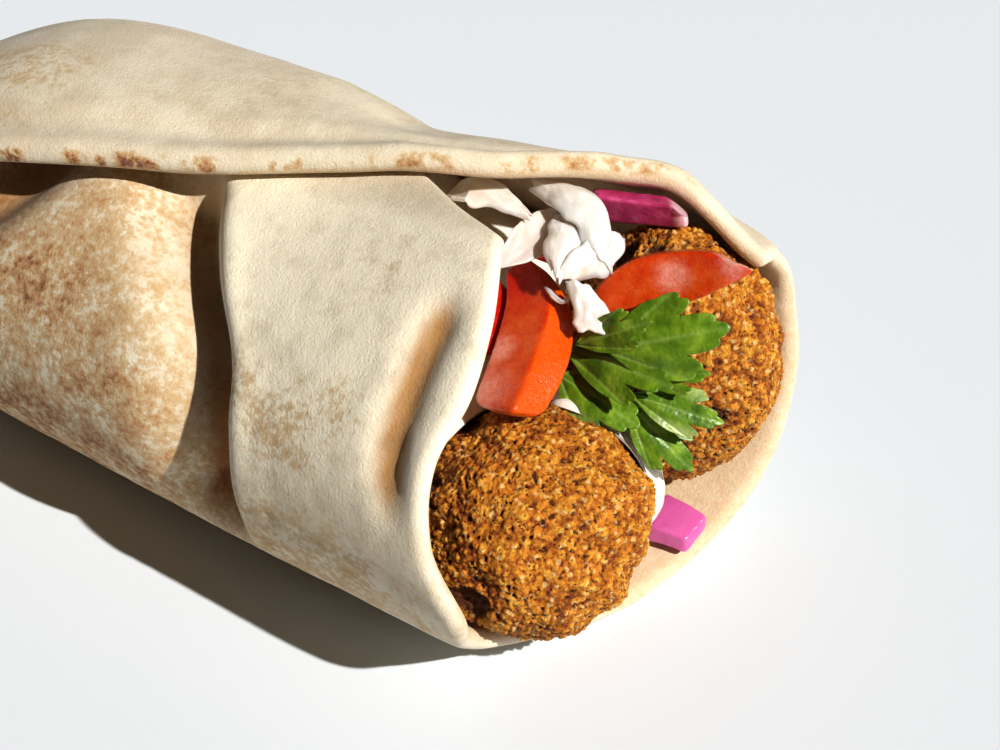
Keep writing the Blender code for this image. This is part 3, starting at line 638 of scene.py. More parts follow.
def white_cabbage_look():
    look = Look("shredded white cabbage")
    ridge = look.noise(0.9, 3.0, 0.6, 0.2, look.scaled((0.28, 1.6, 1.0), look.sheet()))
    base = look.ramp(look.noise(4.0, 3.0), *WHITE_LEAF)
    base = look.mix(look.mark("tint"), base, TINTED_LEAF)
    normal = look.bump(ridge, 0.22, 0.5)
    glow = (0.5, (0.003, 0.0026, 0.002))
    return look.finish(base, 0.33, normal, glow, Coat_Weight=0.2, Coat_Roughness=0.15)


def red_cabbage_look():
    look = Look("pickled red cabbage")
    base = look.ramp(look.noise(3.0, 3.0), *RED_LEAF)
    base = look.mix(look.mark("pale"), base, PALE_RED)
    base = look.mix(look.mark("vivid"), base, VIVID_RED)
    normal = look.bump(look.noise(1.0, 3.0, 0.6), 0.3, 0.5)
    glow = (0.35, (0.003, 0.001, 0.002))
    return look.finish(base, 0.28, normal, glow, Coat_Weight=0.25, Coat_Roughness=0.12)


def parsley_look():
    look = Look("parsley leaf")
    base = look.ramp(look.noise(3.0, 3.0), *HERB_GREEN)
    base = look.mix(look.mark("vein") * 0.45, base, HERB_VEIN)
    # Painted sheen, with the leaf's own paler underside on parsley_7: the sides of marked leaflets are painted pale
    base = look.mix(look.mark("pale"), base, HERB_PALE)
    normal = look.bump(look.cells(0.7) * 0.6 + look.noise(1.2), 0.25, 0.5)
    return look.finish(base, 0.38, normal, (0.15, (0.001, 0.002, 0.0005)), Specular_IOR_Level=0.6)


# The bread

EDGE_RADIUS, EDGE_THINNING, EDGE_THINNING_OVER = 2.0, 0.10, 6.0
ROUND_RADIUS = 36.0
# Waves of the whole sheet: height, size and seed
BREAD_WAVES = [(0.21, 24.0, 3), (0.084, 7.0, 5)]
# Wrinkles, deeper in bands beside the creases: each its line, how far beside it, its width and its reach
WRINKLE_SIZE, WRINKLE_HEIGHT, WRINKLE_DEEPER, WRINKLE_LEVEL = (5.5, 1.9, 1.0), 0.05, 0.16, 0.4
WRINKLED = [(VALLEY_LINE, 9.0, 10.0, (42, 30, 118, 20)), (GROOVE_LINE, -6.0, 6.0, (25, 15, 95, 15))]
GRAIN_SIZE, GRAIN_HEIGHT, RELIEF_EDGE = 2.6, 0.05, 1.5
# The low ridge of the panel beside the valley
RIDGE_HEIGHT, RIDGE_OFF, RIDGE_WIDTH, RIDGE_REACH = 0.5, 6.5, 3.0, (12, 12, 110, 25)
# The flap's rounded lip with a shallow hollow behind it, and the scallops of its edge
FLAP_FROM, FLAP_OVER, FLAP_SHARE, FLAP_SHARE_OVER = 305.0, 20.0, 0.5, 0.1
LIP_HEIGHT, LIP_AT, LIP_WIDTH, LIP_HOLLOW_AT, LIP_HOLLOW_WIDTH = 0.75, 2.6, 2.0, 7.6, 2.6
SCALLOP_HEIGHT, SCALLOP_SIZE, SCALLOP_REACH = 0.22, (30.0, 3.2, 1.0), 3.0
# Browned dots along the flap's edge
DOT_SIZE, DOT_LEVEL, DOT_SOFTNESS, DOT_REACH, DOT_DEPTH = (1.5, 1.7, 1.0), 0.05, 0.40, 1.1, 2.2
DOTS_LEAST, DOTS_MORE, DOTS_FROM_X, DOTS_OVER = 0.45, 0.75, 20.0, 60.0
# Toast patches over the whole inner side, as painted warm shade of the hollow
INNER_TOAST = 0.42
# Painted brown shade in the creases, and the pale panel between the valley and the mouth, which is painted light
VALLEY_SHADE_OFF, VALLEY_SHADE_WIDTH, VALLEY_SHADE_FULL, VALLEY_SHADE_REACH = -1.2, 4.2, 0.7, (5, 12, 128, 18)
VALLEY_SHADE_LEAST, VALLEY_SHADE_FROM, VALLEY_SHADE_OVER = 0.45, 35.0, 35.0
GROOVE_SHADE, GROOVE_SHADE_OFF, GROOVE_SHADE_WIDTHS, GROOVE_SHADE_FULL = 0.95, 0.3, (2.4, 2.6), 0.8
TUCK_SHADE, TUCK_SHADE_WIDTHS, TUCK_SHADE_FULL = 0.8, (8.0, 8.0), 0.9
PALE_OFF, PALE_OVER, PALE_REACH = 1.0, 4.0, (2, 8, 92, 40)
# Toasted places: angle, x, their reaches and depth
TOAST_PLACES = [
    (58, -14, 34, 26, 0.95), (78, 4, 26, 19, 0.90), (28, -8, 18, 16, 0.60), (108, -14, 34, 50, 1.15),
    (45, -54, 34, 30, 0.85), (366, -34, 14, 12, 0.42), (392, -52, 22, 26, 0.62), (350, 2, 30, 22, 0.20),
    (60, 28, 14, 9, 0.44), (66, 40, 16, 10, 0.48), (56, 50, 13, 7, 0.36), (22, 44, 16, 14, 0.20),
    (112, 44, 28, 30, 0.62), (150, 0, 50, 60, 0.60), (210, 10, 50, 60, 0.62), (268, -10, 50, 50, 0.62),
    (310, 30, 36, 40, 0.34),
]


def run_along(points, axis):
    """How far each point of a grid is from its first row or column, along the surface."""
    steps = np.linalg.norm(np.diff(points, axis=axis), axis=-1)
    return np.insert(np.cumsum(steps, axis=axis), 0, 0.0, axis=axis)


def edge_distance(points):
    """How far each point of a grid is from the grid's edge, along its rows and columns."""
    distance = np.full(points.shape[:2], np.inf)
    for axis in (0, 1):
        run = run_along(points, axis)
        distance = np.minimum(distance, np.minimum(run, run.max(axis=axis, keepdims=True) - run))
    return distance


def beside(angle, x, line, off, width):
    """1 along a way that runs beside a crease's line, less to both sides of it."""
    return hump(x, smooth_through(line, angle) + off, width)


def bread_relief(angle, x, flat, edge, edge_run, on_flap):
    """Small heights of the outer side: wrinkles, the ridge beside the valley, the flap's lip and its scallops."""
    bands = sum(beside(angle, x, *band) * between(angle, *reach) for *band, reach in WRINKLED)
    wrinkles = layered_noise(flat / np.array(WRINKLE_SIZE), 3, 8) - WRINKLE_LEVEL
    lift = (WRINKLE_HEIGHT + WRINKLE_DEEPER * np.clip(bands, 0, 1)) * wrinkles
    lift = (lift + GRAIN_HEIGHT * layered_noise(flat / GRAIN_SIZE, 3, 9)) * ease(edge / RELIEF_EDGE)
    lip = hump(edge_run, LIP_AT, LIP_WIDTH) - hump(edge_run, LIP_HOLLOW_AT, LIP_HOLLOW_WIDTH)
    scallop = soft_noise(flat / np.array(SCALLOP_SIZE), 12) * hump(edge_run, 0.0, SCALLOP_REACH)
    lift = lift + on_flap * (LIP_HEIGHT * lip + SCALLOP_HEIGHT * scallop)
    return lift + RIDGE_HEIGHT * beside(angle, x, VALLEY_LINE, RIDGE_OFF, RIDGE_WIDTH) * between(angle, *RIDGE_REACH)


def toasted(angle, x):
    """How toasted the crust is: the highest of its soft places."""
    near = np.zeros_like(x)
    for spot_angle, spot_x, reach_angle, reach_x, depth in TOAST_PLACES:
        near = np.maximum(near, depth * hump(angle, spot_angle, reach_angle) * hump(x, spot_x, reach_x))
    return near


def creased(angle, x):
    """How deep in a crease the crust is, for the painted brown shade that such a place gets."""
    valley = beside(angle, x, VALLEY_LINE, VALLEY_SHADE_OFF, VALLEY_SHADE_WIDTH)
    valley = ease(valley / VALLEY_SHADE_FULL) * between(angle, *VALLEY_SHADE_REACH)
    lower = ease((angle - VALLEY_SHADE_FROM) / VALLEY_SHADE_OVER)
    valley = valley * (VALLEY_SHADE_LEAST + (1 - VALLEY_SHADE_LEAST) * lower)
    groove = crease(angle, x + GROOVE_SHADE_OFF, GROOVE_LINE, 1.0, *GROOVE_SHADE_WIDTHS)
    groove = GROOVE_SHADE * ease(groove / GROOVE_SHADE_FULL)
    tuck = TUCK_SHADE * ease(crease(angle, x, TUCK_LINE, 1.0, *TUCK_SHADE_WIDTHS) / TUCK_SHADE_FULL)
    return np.max([valley, groove, tuck], axis=0)


def bread_marks(angle, x, flat, edge_run, on_flap):
    """Named values of the outer and the inner side."""
    dots = ease((layered_noise(flat / np.array(DOT_SIZE), 2, 31, 0.8) + DOT_LEVEL) / DOT_SOFTNESS)
    dots = dots * (DOTS_LEAST + DOTS_MORE * ease((DOTS_FROM_X - x) / DOTS_OVER)) * on_flap
    dots = DOT_DEPTH * dots * hump(edge_run, 0.0, DOT_REACH)
    # Painted light: the pale mark makes the near panel past the valley paler
    pale = ease((x - smooth_through(VALLEY_LINE, angle) - PALE_OFF) / PALE_OVER) * between(angle, *PALE_REACH)
    none = np.zeros_like(x)
    return {
        "toast": (np.maximum(toasted(angle, x), dots), np.maximum(INNER_TOAST, dots)),
        "inside": (none, none + 1), "crease": (creased(angle, x), none), "pale": (pale, none),
    }


def make_bread():
    """Middle surface: the hollow's wall moved out by half a thickness, the overlap and minus the creases."""
    rows = rounded_rows(ROUND_ROWS, ROUND_LENGTH, EDGE_RADIUS)
    columns = rounded_rows(LONG_ROWS, LONG_LENGTH, EDGE_RADIUS)
    a, b = np.meshgrid(rows, columns, indexing="ij")
    angle, x = sheet_place(a, b)
    normals = hollow_normal(angle, x)
    offset = BREAD_THICKNESS / 2 + overlap(angle, x) - dent(angle, x)
    round_run = np.radians(angle) * ROUND_RADIUS
    flat = np.stack([round_run, x, np.zeros_like(x)], -1)
    wave = sum(height * layered_noise(flat / size, 2, seed) for height, size, seed in BREAD_WAVES)
    middle = hollow_point(angle, x) + normals * (offset + wave)[..., None]
    edge = edge_distance(middle)
    half = rounded_half(edge, EDGE_RADIUS, BREAD_THICKNESS / 2 - BREAD_INSET)
    half = half * (1 - EDGE_THINNING * ease(1 - edge / EDGE_THINNING_OVER))
    run = run_along(middle, 0)
    edge_run = run[-1:] - run
    on_flap = ease((angle - FLAP_FROM) / FLAP_OVER) * ease((a - FLAP_SHARE) / FLAP_SHARE_OVER)
    lift = bread_relief(angle, x, flat, edge, edge_run, on_flap)
    marks = bread_marks(angle, x, flat, edge_run, on_flap)
    place = flat[..., :2] / 100.0
    stand_in(sheet_object("pita_bread", middle, half, normals, marks, bread_look(), place, lift), "flatbread", "pita")


# The fillings

LUMP_WAVES, LUMP_TURN, LUMP_CLIMB = 6, 2.4, 1.7
LUMP_PITCH, LUMP_PITCH_STEP, LUMP_GAIN = 0.30, 0.09, 1.6


def lumps(points, phase):
    """A soft uneven height between -1 and 1 made of a few crossed waves."""
    height = np.zeros(points.shape[:-1])
    for k in range(LUMP_WAVES):
        turn = phase + LUMP_TURN * k
        wave = np.array([math.cos(turn), math.sin(turn), math.sin(LUMP_CLIMB * turn)])
        pitch = LUMP_PITCH + LUMP_PITCH_STEP * k
        height += np.sin(points @ (wave * pitch) + phase * k) / LUMP_WAVES
    return height * LUMP_GAIN


# Deep ragged places of the balls: centre, reach and depth
FRONT_CREVICES = [((56.3, -26.0, 34.0), 3.2, 2.4), ((70.5, -33.0, 21.0), 3.2, 2.2), ((52.0, -20.0, 36.5), 3.0, 1.6)]
REAR_CREVICES = [((62.5, 20.5, 52.0), 2.8, 2.2), ((69.0, 20.5, 55.5), 1.8, 1.2), ((86.0, 14.0, 32.0), 2.4, 1.4)]
WARP, WARP_SIZE = 0.45, 1.3
# Crumbs: size, seed, height and width of the cracks between them, level, and how domed they are
CRUMB = (1.5, 5, 1.3, 0.24, 0.8, 0.9)
FINE_CRUMB = (0.75, 9, 1.5, 0.22, 0.7, 0.6)
# Small holes, where a cell's value is high enough
HOLE_SIZE, HOLE_RADIUS, HOLE_MORE, HOLE_SOFTNESS, HOLE_FROM_VALUE = 1.25, 0.20, 0.24, 0.14, 0.34
ROUGH_SIZE, CREVICE_REACH, CREVICE_ROUGH, CREVICE_CRUMB = 3.6, 1.5, 1.3, 0.25
# What each adds to the height
ROUGH_RELIEF, CRUMB_RELIEF, FINE_RELIEF, HOLE_RELIEF, MEAN_RELIEF = 0.65, 0.26, 0.15, 0.60, 0.10
# Painted shade: how dark a hole, a crevice and a low place are painted
HOLE_DARK, CREVICE_DARK, LOW_DARK, LOW_FROM, LOW_OVER = 0.8, 1 / 1.8, 0.55, 0.55, 0.35


def cracked(points, seed, size, own_seed, height, width, level, dome):
    """High where the nearest two of the cells' points are equally near: the cracks between crumbs."""
    first, second, _ = cell_noise(points / size, seed + own_seed)
    return height * hump(second - first, 0.0, width) - level + dome * first


def make_falafel(name, ball, crevices, seed):
    """An uneven ball whose height adds soft lumps, crumbs of two sizes and pits between them."""
    out = round_directions(*BALL_GRID, BALL_POLE)
    points = np.array(ball["centre"]) + out * np.array(ball["radii"])
    points = points + out * (BALL_LUMPS * lumps(points, ball["phase"]))[..., None]
    points = inside_bread(points, WALL_CLEARANCE)
    warp = np.stack([layered_noise(points / WARP_SIZE + 40.0 * k, 2, seed + k) for k in range(3)], -1)
    warped = points + WARP * warp
    crumb, fine = cracked(warped, seed, *CRUMB), cracked(warped, seed, *FINE_CRUMB)
    first, _, value = cell_noise(warped / HOLE_SIZE, seed + 14)
    hole = ease((HOLE_RADIUS + HOLE_MORE * value - first) / HOLE_SOFTNESS) * (value > HOLE_FROM_VALUE)
    rough = layered_noise(points / ROUGH_SIZE, 4, seed + 20)
    deep = np.zeros(points.shape[:2])
    for centre, reach, depth in crevices:
        away = np.linalg.norm(points - np.array(centre), axis=-1) / reach
        ragged = CREVICE_REACH - away + CREVICE_ROUGH * rough - CREVICE_CRUMB * crumb
        deep = np.maximum(deep, depth * ease(ragged))
    height = ROUGH_RELIEF * rough - CRUMB_RELIEF * crumb - FINE_RELIEF * fine
    height = height - HOLE_RELIEF * hole - deep + MEAN_RELIEF
    points = points + out * height[..., None]
    low = np.clip((MEAN_RELIEF - height - deep * 0.2) / 0.9, 0, 1)
    # The pit mark is painted shade in the holes, the crevices and the low places
    marks = {
        "pit": np.clip(HOLE_DARK * hole + CREVICE_DARK * deep + LOW_DARK * ease((low - LOW_FROM) / LOW_OVER), 0, 1),
        "tone": np.clip(0.5 - 0.35 * crumb - 0.2 * fine + 0.5 * rough, 0, 1),
    }
    stand_in(ball_object(name + "_ball", points, marks, falafel_look()), "falafel", name)


SAUCE_TAIL_X, SAUCE_FRONT_X, SAUCE_OVERRUN = -76.0, 57.0, 0.05
SAUCE_TOP_STEP = 20.0
SAUCE_TOP_FROM_Z, SAUCE_TOP_OVER_Z, SAUCE_TOP_FROM_X, SAUCE_TOP_OVER_X = 36.0, 12.0, 10.0, 40.0
SAUCE_END_SHARE, SAUCE_END_FULLNESS = 0.25, 0.7
SAUCE_GRID, BLOB_GRID = (110, 140), (120, 160)
SAUCE_RIPPLE, SAUCE_RIPPLE_SIZE, BLOB_RIPPLE_SIZE = 0.5, 7.0, 5.0
SAUCE_CLEARANCE, BLOB_ROOM = 2.0, 0.4
# The blobs that come forward between the balls: each a middle and three half axes
SAUCE_BLOBS = {
    "sauce_between": ((65.4, 6.5, 19.6), [(16.0, 0.0, 0.0), (0.0, 6.6, 0.0), (0.0, 0.0, 13.6)]),
    "sauce_ridge": ((72.9, 1.3, 27.0), [(7.6, 2.0, -10.4), (-1.4, 4.4, 0.0), (5.0, 1.0, 3.2)]),
}


def make_sauce():
    """The body is the hollow drawn in towards its middle line, and a blob comes forward between the balls."""
    look = sauce_look()
    along, turn = np.meshgrid(
        np.linspace(0, 1, SAUCE_GRID[0]), np.linspace(0, 360, SAUCE_GRID[1], endpoint=False), indexing="ij"
    )
    wide = np.minimum(1.0, np.minimum(along, 1 - along) / SAUCE_END_SHARE) ** SAUCE_END_FULLNESS
    run = ease(along * (1 + 2 * SAUCE_OVERRUN) - SAUCE_OVERRUN)
    x = SAUCE_FRONT_X + (SAUCE_TAIL_X - SAUCE_FRONT_X) * run
    middle = np.stack([x, np.zeros_like(x), hollow_middle(x)], -1)
    points = inside_bread(middle + (hollow_point(turn, x) - middle) * wide[..., None], SAUCE_CLEARANCE)
    high = ease((points[..., 2] - SAUCE_TOP_FROM_Z) / SAUCE_TOP_OVER_Z)
    points[..., 0] -= SAUCE_TOP_STEP * high * ease((points[..., 0] - SAUCE_TOP_FROM_X) / SAUCE_TOP_OVER_X)
    points[..., 0] += SAUCE_RIPPLE * layered_noise(points / SAUCE_RIPPLE_SIZE, 3, 60)
    for ball in (FRONT_BALL, REAR_BALL):
        points = out_of_ball(points, ball, BALL_ROOM)
    pieces = [ball_object("sauce_body", inside_bread(points, SAUCE_CLEARANCE), {}, look)]
    for name, (middle, axes) in SAUCE_BLOBS.items():
        out = round_directions(*BLOB_GRID, (1.0, 0.0, 0.0))
        blob = np.array(middle) + out @ np.array(axes)
        blob = blob + out * (SAUCE_RIPPLE * layered_noise(blob / BLOB_RIPPLE_SIZE, 3, 66))[..., None]
        for ball in (FRONT_BALL, REAR_BALL):
            blob = out_of_ball(blob, ball, BLOB_ROOM)
        pieces.append(ball_object(name, inside_bread(blob, WALL_CLEARANCE), {}, look))
    for piece in pieces:
        stand_in(piece, "white_sauce", "white_sauce")


BLOCK_GRID = (80, 96)
BLOCK_RIPPLE, BLOCK_RIPPLE_SIZE, BLOCK_SEED = 0.12, 2.6, 70
# How rows crowd at a block's ends, how square its ends are and how round their rims
END_CROWDING, END_SQUARENESS, END_RIM = 0.8, 18, 2.6


def section_weights(columns, soft):
    """How much of each of four corners a point of the closed outline has, with the corners rounded by averaging."""
    place = np.linspace(0, 4, columns, endpoint=False)
    corner = np.arange(4)
    away = np.abs((place[:, None] - corner + 2) % 4 - 2)
    weights = np.clip(1 - away, 0, None)
    reach = max(1, round(columns * soft / 4))
    return np.mean([np.roll(weights, shift, axis=0) for shift in range(-reach, reach + 1)], axis=0), place


def make_block(name, stations, bow, soft, slot, look, marks_of, node):
    """A four-cornered piece carried through its stations, each four corners, its ends closed by a rounded cap."""
    weights, place = section_weights(BLOCK_GRID[1], soft)
    turn = np.cos(np.linspace(0, math.pi, BLOCK_GRID[0]))
    along = 0.5 - 0.5 * np.sign(turn) * np.abs(turn) ** END_CROWDING
    fullness = (1 - np.abs(2 * along - 1) ** END_SQUARENESS) ** (1 / END_RIM)
    corners = np.stack([path_through([station[k] for station in stations], along) for k in range(4)], 1)
    outline = np.einsum("tk,akc->atc", weights, corners)
    middle = corners.mean(1)[:, None]
    points = middle + (outline - middle) * fullness[:, None, None]
    points = points + np.array(bow) * (4 * along * (1 - along))[:, None, None]
    ripple = BLOCK_RIPPLE * layered_noise(points / BLOCK_RIPPLE_SIZE, 3, BLOCK_SEED)
    points = inside_bread(points + unit(points - middle) * ripple[..., None], WALL_CLEARANCE)
    a, t = np.broadcast_arrays(along[:, None], place)
    stand_in(ball_object(name, points, marks_of(a, t, points), look), slot, node)


# The deep mark is painted shade: the back and small pieces and the front wedge's inner end are painted darker red
WALL_EDGE, DEEP_FROM, DEEP_OVER = 0.06, 0.18, 0.26


def tomato_marks(walled, deep, wet_at):
    """Which part is cut wall, which flesh is painted deep red as painted shade, and where it is wet and pale."""
    def marks(a, t, points):
        wall = between(t, 1.0, WALL_EDGE, 3.0, WALL_EDGE) * walled
        wet = np.zeros_like(a)
        for centre, reach in wet_at:
            away = np.linalg.norm(points - np.array(centre), axis=-1)
            wet = np.maximum(wet, hump(away, 0.0, reach) * (1 - wall))
        return {"wall": wall, "wet": wet, "deep": deep * (1 - walled * ease((a - DEEP_FROM) / DEEP_OVER))}
    return marks


TOMATO_SOFTNESS = 0.10
# Each tomato piece: its stations, its bow, then the values of its marks
TOMATOES = {
    "tomato_front": (
        [[(48.6, 9.0, 50.6), (51.6, 11.0, 53.2), (54.2, 12.0, 51.2), (52.0, 10.8, 48.4)],
         [(51.8, 4.0, 47.2), (59.2, 6.2, 50.2), (61.3, 9.4, 47.2), (57.8, 8.2, 44.2)],
         [(55.3, -5.0, 44.6), (63.9, -5.6, 47.5), (67.3, 0.3, 45.5), (61.4, -0.7, 41.6)],
         [(58.4, -14.6, 42.4), (67.0, -15.6, 45.6), (69.6, -10.8, 42.4), (63.5, -11.5, 40.6)]],
        (0.0, 0.0, 0.3), (1.0, 1.0, [((58.0, -12.5, 44.0), 7.5), ((56.5, -4.0, 45.6), 4.2)]),
    ),
    "tomato_back": (
        [[(46.0, 7.2, 47.2), (48.2, 8.0, 49.0), (50.4, 8.8, 46.4), (47.6, 9.2, 44.6)],
         [(51.0, -6.2, 43.2), (53.6, -5.0, 44.8), (55.4, -2.4, 43.0), (52.8, -2.0, 41.2)]],
        (0.0, 0.0, 0.2), (0.0, 1.0, []),
    ),
    "tomato_small": (
        [[(50.5, 15.5, 54.0), (52.5, 14.5, 55.5), (56.5, 15.5, 54.5), (53.0, 16.0, 52.5)],
         [(53.5, 9.5, 54.0), (56.0, 9.0, 55.5), (59.0, 10.5, 54.0), (56.0, 11.0, 52.8)]],
        (0.0, 0.0, 0.4), (0.0, 0.7, []),
    ),
    "tomato_rear": (
        [[(63.9, 10.2, 51.5), (66.9, 8.0, 46.2), (64.6, 11.6, 43.4), (61.6, 13.8, 48.6)],
         [(68.7, 14.4, 57.0), (71.5, 11.0, 48.6), (69.2, 14.8, 45.6), (66.2, 18.2, 54.0)],
         [(74.8, 17.8, 59.5), (76.3, 14.2, 51.0), (74.0, 18.0, 48.2), (72.4, 21.6, 56.6)],
         [(80.2, 19.5, 60.6), (81.0, 17.0, 54.0), (79.2, 20.4, 51.8), (78.2, 22.8, 58.2)],
         [(84.6, 20.2, 60.1), (84.3, 19.0, 56.6), (83.2, 21.2, 55.2), (83.4, 22.4, 58.6)],
         [(87.1, 20.8, 59.5), (86.9, 20.6, 58.7), (86.5, 21.3, 58.2), (86.6, 21.5, 59.0)]],
        (0.0, 0.0, 0.0), (0.0, 0.0, [((84.0, 20.0, 59.6), 3.2), ((75.5, 16.0, 56.0), 4.0)]),
    ),
}


def make_tomatoes():
    look = tomato_look()
    for name, (stations, bow, marks) in TOMATOES.items():
        make_block(name + "_wedge", stations, bow, TOMATO_SOFTNESS, "tomato", look, tomato_marks(*marks), name)


# Rows and columns of a shred: how many, a usual length and the rim's radius
STRIP_ROWS, STRIP_COLUMNS = (70, 20.0, 0.7, 4), (22, 5.0, 0.5, 4)
END_SLANT, END_RAGGED, END_RAGS, STRIP_START, STRIP_SHARE = 0.07, 0.035, 2.6, 0.10, 0.80
EDGE_WAVES, EDGE_WAVE = 5.0, 0.16
CRUMPLE, CRUMPLE_SIZE, RIB_HEIGHT, RIBS, RIB_EDGE = 0.35, 3.0, 0.05, (2.0, 4.5), 0.8
TINT_SPREAD, TINT_SIZE, PATH_STEP = 0.5, 3.0, 0.01


def make_strip(name, path, across, half_widths, camber, thickness, look, node, tint, seed):
    """A ribbon carried along a path, arched across, with uneven edges, slanting ends and a rounded rim."""
    a, b = np.meshgrid(rounded_rows(*STRIP_ROWS), rounded_rows(*STRIP_COLUMNS), indexing="ij")
    cross, none = 2 * b - 1, np.zeros_like(a)
    slant = END_SLANT if seed % 2 else -END_SLANT
    ragged = END_RAGGED * soft_noise(np.stack([cross * END_RAGS, np.round(a), none], -1), seed + 2)
    at = np.clip(STRIP_START + STRIP_SHARE * a + (slant * cross + ragged) * np.abs(2 * a - 1), 0, 1)
    centre, side = path_through(path, at), path_through(across, a)
    along = path_through(path, np.minimum(a + PATH_STEP, 1)) - path_through(path, np.maximum(a - PATH_STEP, 0))
    up = unit(np.cross(along, side))
    side = unit(np.cross(up, along))
    edge_wave = soft_noise(np.stack([a * EDGE_WAVES, np.sign(cross) * 3.0, none], -1), seed)
    half_width = smooth_through(list(zip(np.linspace(0, 1, len(half_widths)), half_widths)), a)
    half_width = half_width * (1 + EDGE_WAVE * edge_wave)
    height = camber * (1 - cross**2) + CRUMPLE * layered_noise(centre / CRUMPLE_SIZE + cross[..., None], 2, seed)
    middle = centre + side * (cross * half_width)[..., None] + up * height[..., None]
    middle = inside_bread(middle, WALL_CLEARANCE + thickness / 2)
    edge = edge_distance(middle)
    ribs = RIB_HEIGHT * soft_noise(np.stack([a * RIBS[0], cross * RIBS[1], none], -1), seed + 4)
    half = rounded_half(edge, thickness / 2, thickness / 2) + ribs * ease(edge / RIB_EDGE)
    tints = np.clip(tint + TINT_SPREAD * soft_noise(centre / TINT_SIZE, seed + 7), 0, 1)
    place = np.stack([a * 0.2, b * 0.05], -1)
    stand_in(sheet_object(name, middle, half, up, {"tint": (tints, tints)}, look, place), "white_cabbage", node)


# Each shred: its path, the way across it at its start and end, half widths along it, camber and thickness
WHITE_STRIPS = {
    "white_cabbage_left": (
        [(35.4, 9.4, 59.0), (39.1, 11.5, 60.2), (43.3, 12.4, 60.4), (47.6, 12.5, 60.2), (53.0, 12.3, 59.4)],
        [(0.55, 0.8, 0.1), (-0.5, 0.8, 0.2)], [1.8, 3.2, 2.7, 2.0, 0.8], 0.5, 0.8,
    ),
    "white_cabbage_top": (
        [(46.6, 19.6, 59.8), (52.3, 18.4, 60.9), (57.4, 17.1, 61.4), (61.6, 15.0, 59.2), (65.2, 11.0, 53.6)],
        [(0.25, 0.9, 0.1), (0.7, 0.7, -0.1)], [1.8, 3.4, 3.6, 3.1, 2.2], 1.2, 0.9,
    ),
    "white_cabbage_inner": (
        [(49.4, 3.4, 55.2), (52.3, 8.8, 57.0), (53.8, 13.6, 57.8), (55.0, 17.6, 57.8)],
        [(0.9, 0.0, -0.25)] * 2, [1.4, 3.4, 4.0, 2.8], 0.6, 0.7,
    ),
    "white_cabbage_tongue": (
        [(55.4, 17.0, 58.6), (57.8, 12.8, 58.6), (59.2, 8.8, 57.4), (60.8, 4.8, 54.4)],
        [(0.8, 0.55, -0.1)] * 2, [2.6, 3.0, 2.6, 0.9], 0.8, 0.8,
    ),
    "white_cabbage_right": (
        [(63.0, 18.6, 58.2), (63.8, 14.6, 57.6), (62.8, 11.0, 56.2), (60.2, 6.4, 54.2)],
        [(0.7, 0.5, -0.3), (0.5, 0.9, 0.0)], [2.0, 3.0, 3.4, 2.4], 0.7, 0.8,
    ),
    "white_cabbage_low": (
        [(62.0, 8.6, 54.6), (65.0, 7.1, 52.8), (67.4, 5.9, 50.8), (69.6, 4.0, 48.6)],
        [(0.7, 0.6, 0.0)] * 2, [1.6, 2.4, 2.9, 3.0], 0.6, 0.8,
    ),
}
# The tiny curled shred on the front wedge
CURL = (
    [(56.7, 8.2, 51.2), (58.9, 6.7, 51.5), (61.2, 5.9, 51.3), (62.2, 6.3, 51.5), (61.8, 7.7, 51.8), (60.9, 7.4, 52.4)],
    [(0.5, -0.1, 0.85)] * 2, [0.26, 0.34, 0.34, 0.34, 0.34, 0.26], 0.0, 0.5,
)
# How pinkish a shred is, where it isn't the usual
TINT, TINTS = 0.1, {"white_cabbage_inner": 0.55, "white_cabbage_right": 0.35, "white_cabbage_low": 0.30}
CABBAGE_SOFTNESS, PALE_END, PALE_END_FROM, PALE_END_OVER, VIVID = 0.14, 0.9, 0.80, 0.14, 0.85
# Each red piece: its stations and its bow
RED_BLOCKS = {
    "red_cabbage_top": (
        [[(57.2, 22.2, 55.0), (56.6, 21.6, 60.2), (54.6, 24.4, 59.6), (55.4, 24.8, 54.8)],
         [(72.6, 26.0, 57.8), (71.8, 25.2, 62.3), (69.2, 29.4, 60.6), (69.8, 30.0, 56.2)]],
        (0.0, 0.0, 0.0),
    ),
    "red_cabbage_low": (
        [[(75.5, 17.0, 10.0), (76.2, 9.8, 8.2), (76.2, 9.4, 5.0), (75.5, 16.5, 7.0)],
         [(84.2, 16.8, 9.2), (83.8, 11.0, 7.9), (84.0, 10.8, 5.0), (84.4, 16.8, 7.0)]],
        (0.0, 0.0, 0.4),
    ),
}


def make_cabbage():
    white, red = white_cabbage_look(), red_cabbage_look()
    for seed, (name, strip) in enumerate(WHITE_STRIPS.items(), 80):
        make_strip(name + "_shred", *strip, white, name, TINTS.get(name, TINT), seed)
    make_strip("white_cabbage_low_curl", *CURL, white, "white_cabbage_low", 0.0, 91)
    for name, (stations, bow) in RED_BLOCKS.items():
        low = float(name.endswith("low"))
        def marks(a, t, points):
            pale = PALE_END * (1 - low) * ease((a - PALE_END_FROM) / PALE_END_OVER)
            return {"pale": pale, "vivid": np.full(a.shape, VIVID * low)}
        make_block(name + "_shred", stations, bow, CABBAGE_SOFTNESS, "red_cabbage", red, marks, name)


VIEW_SIDE = (0.44, -0.63, 0.64)
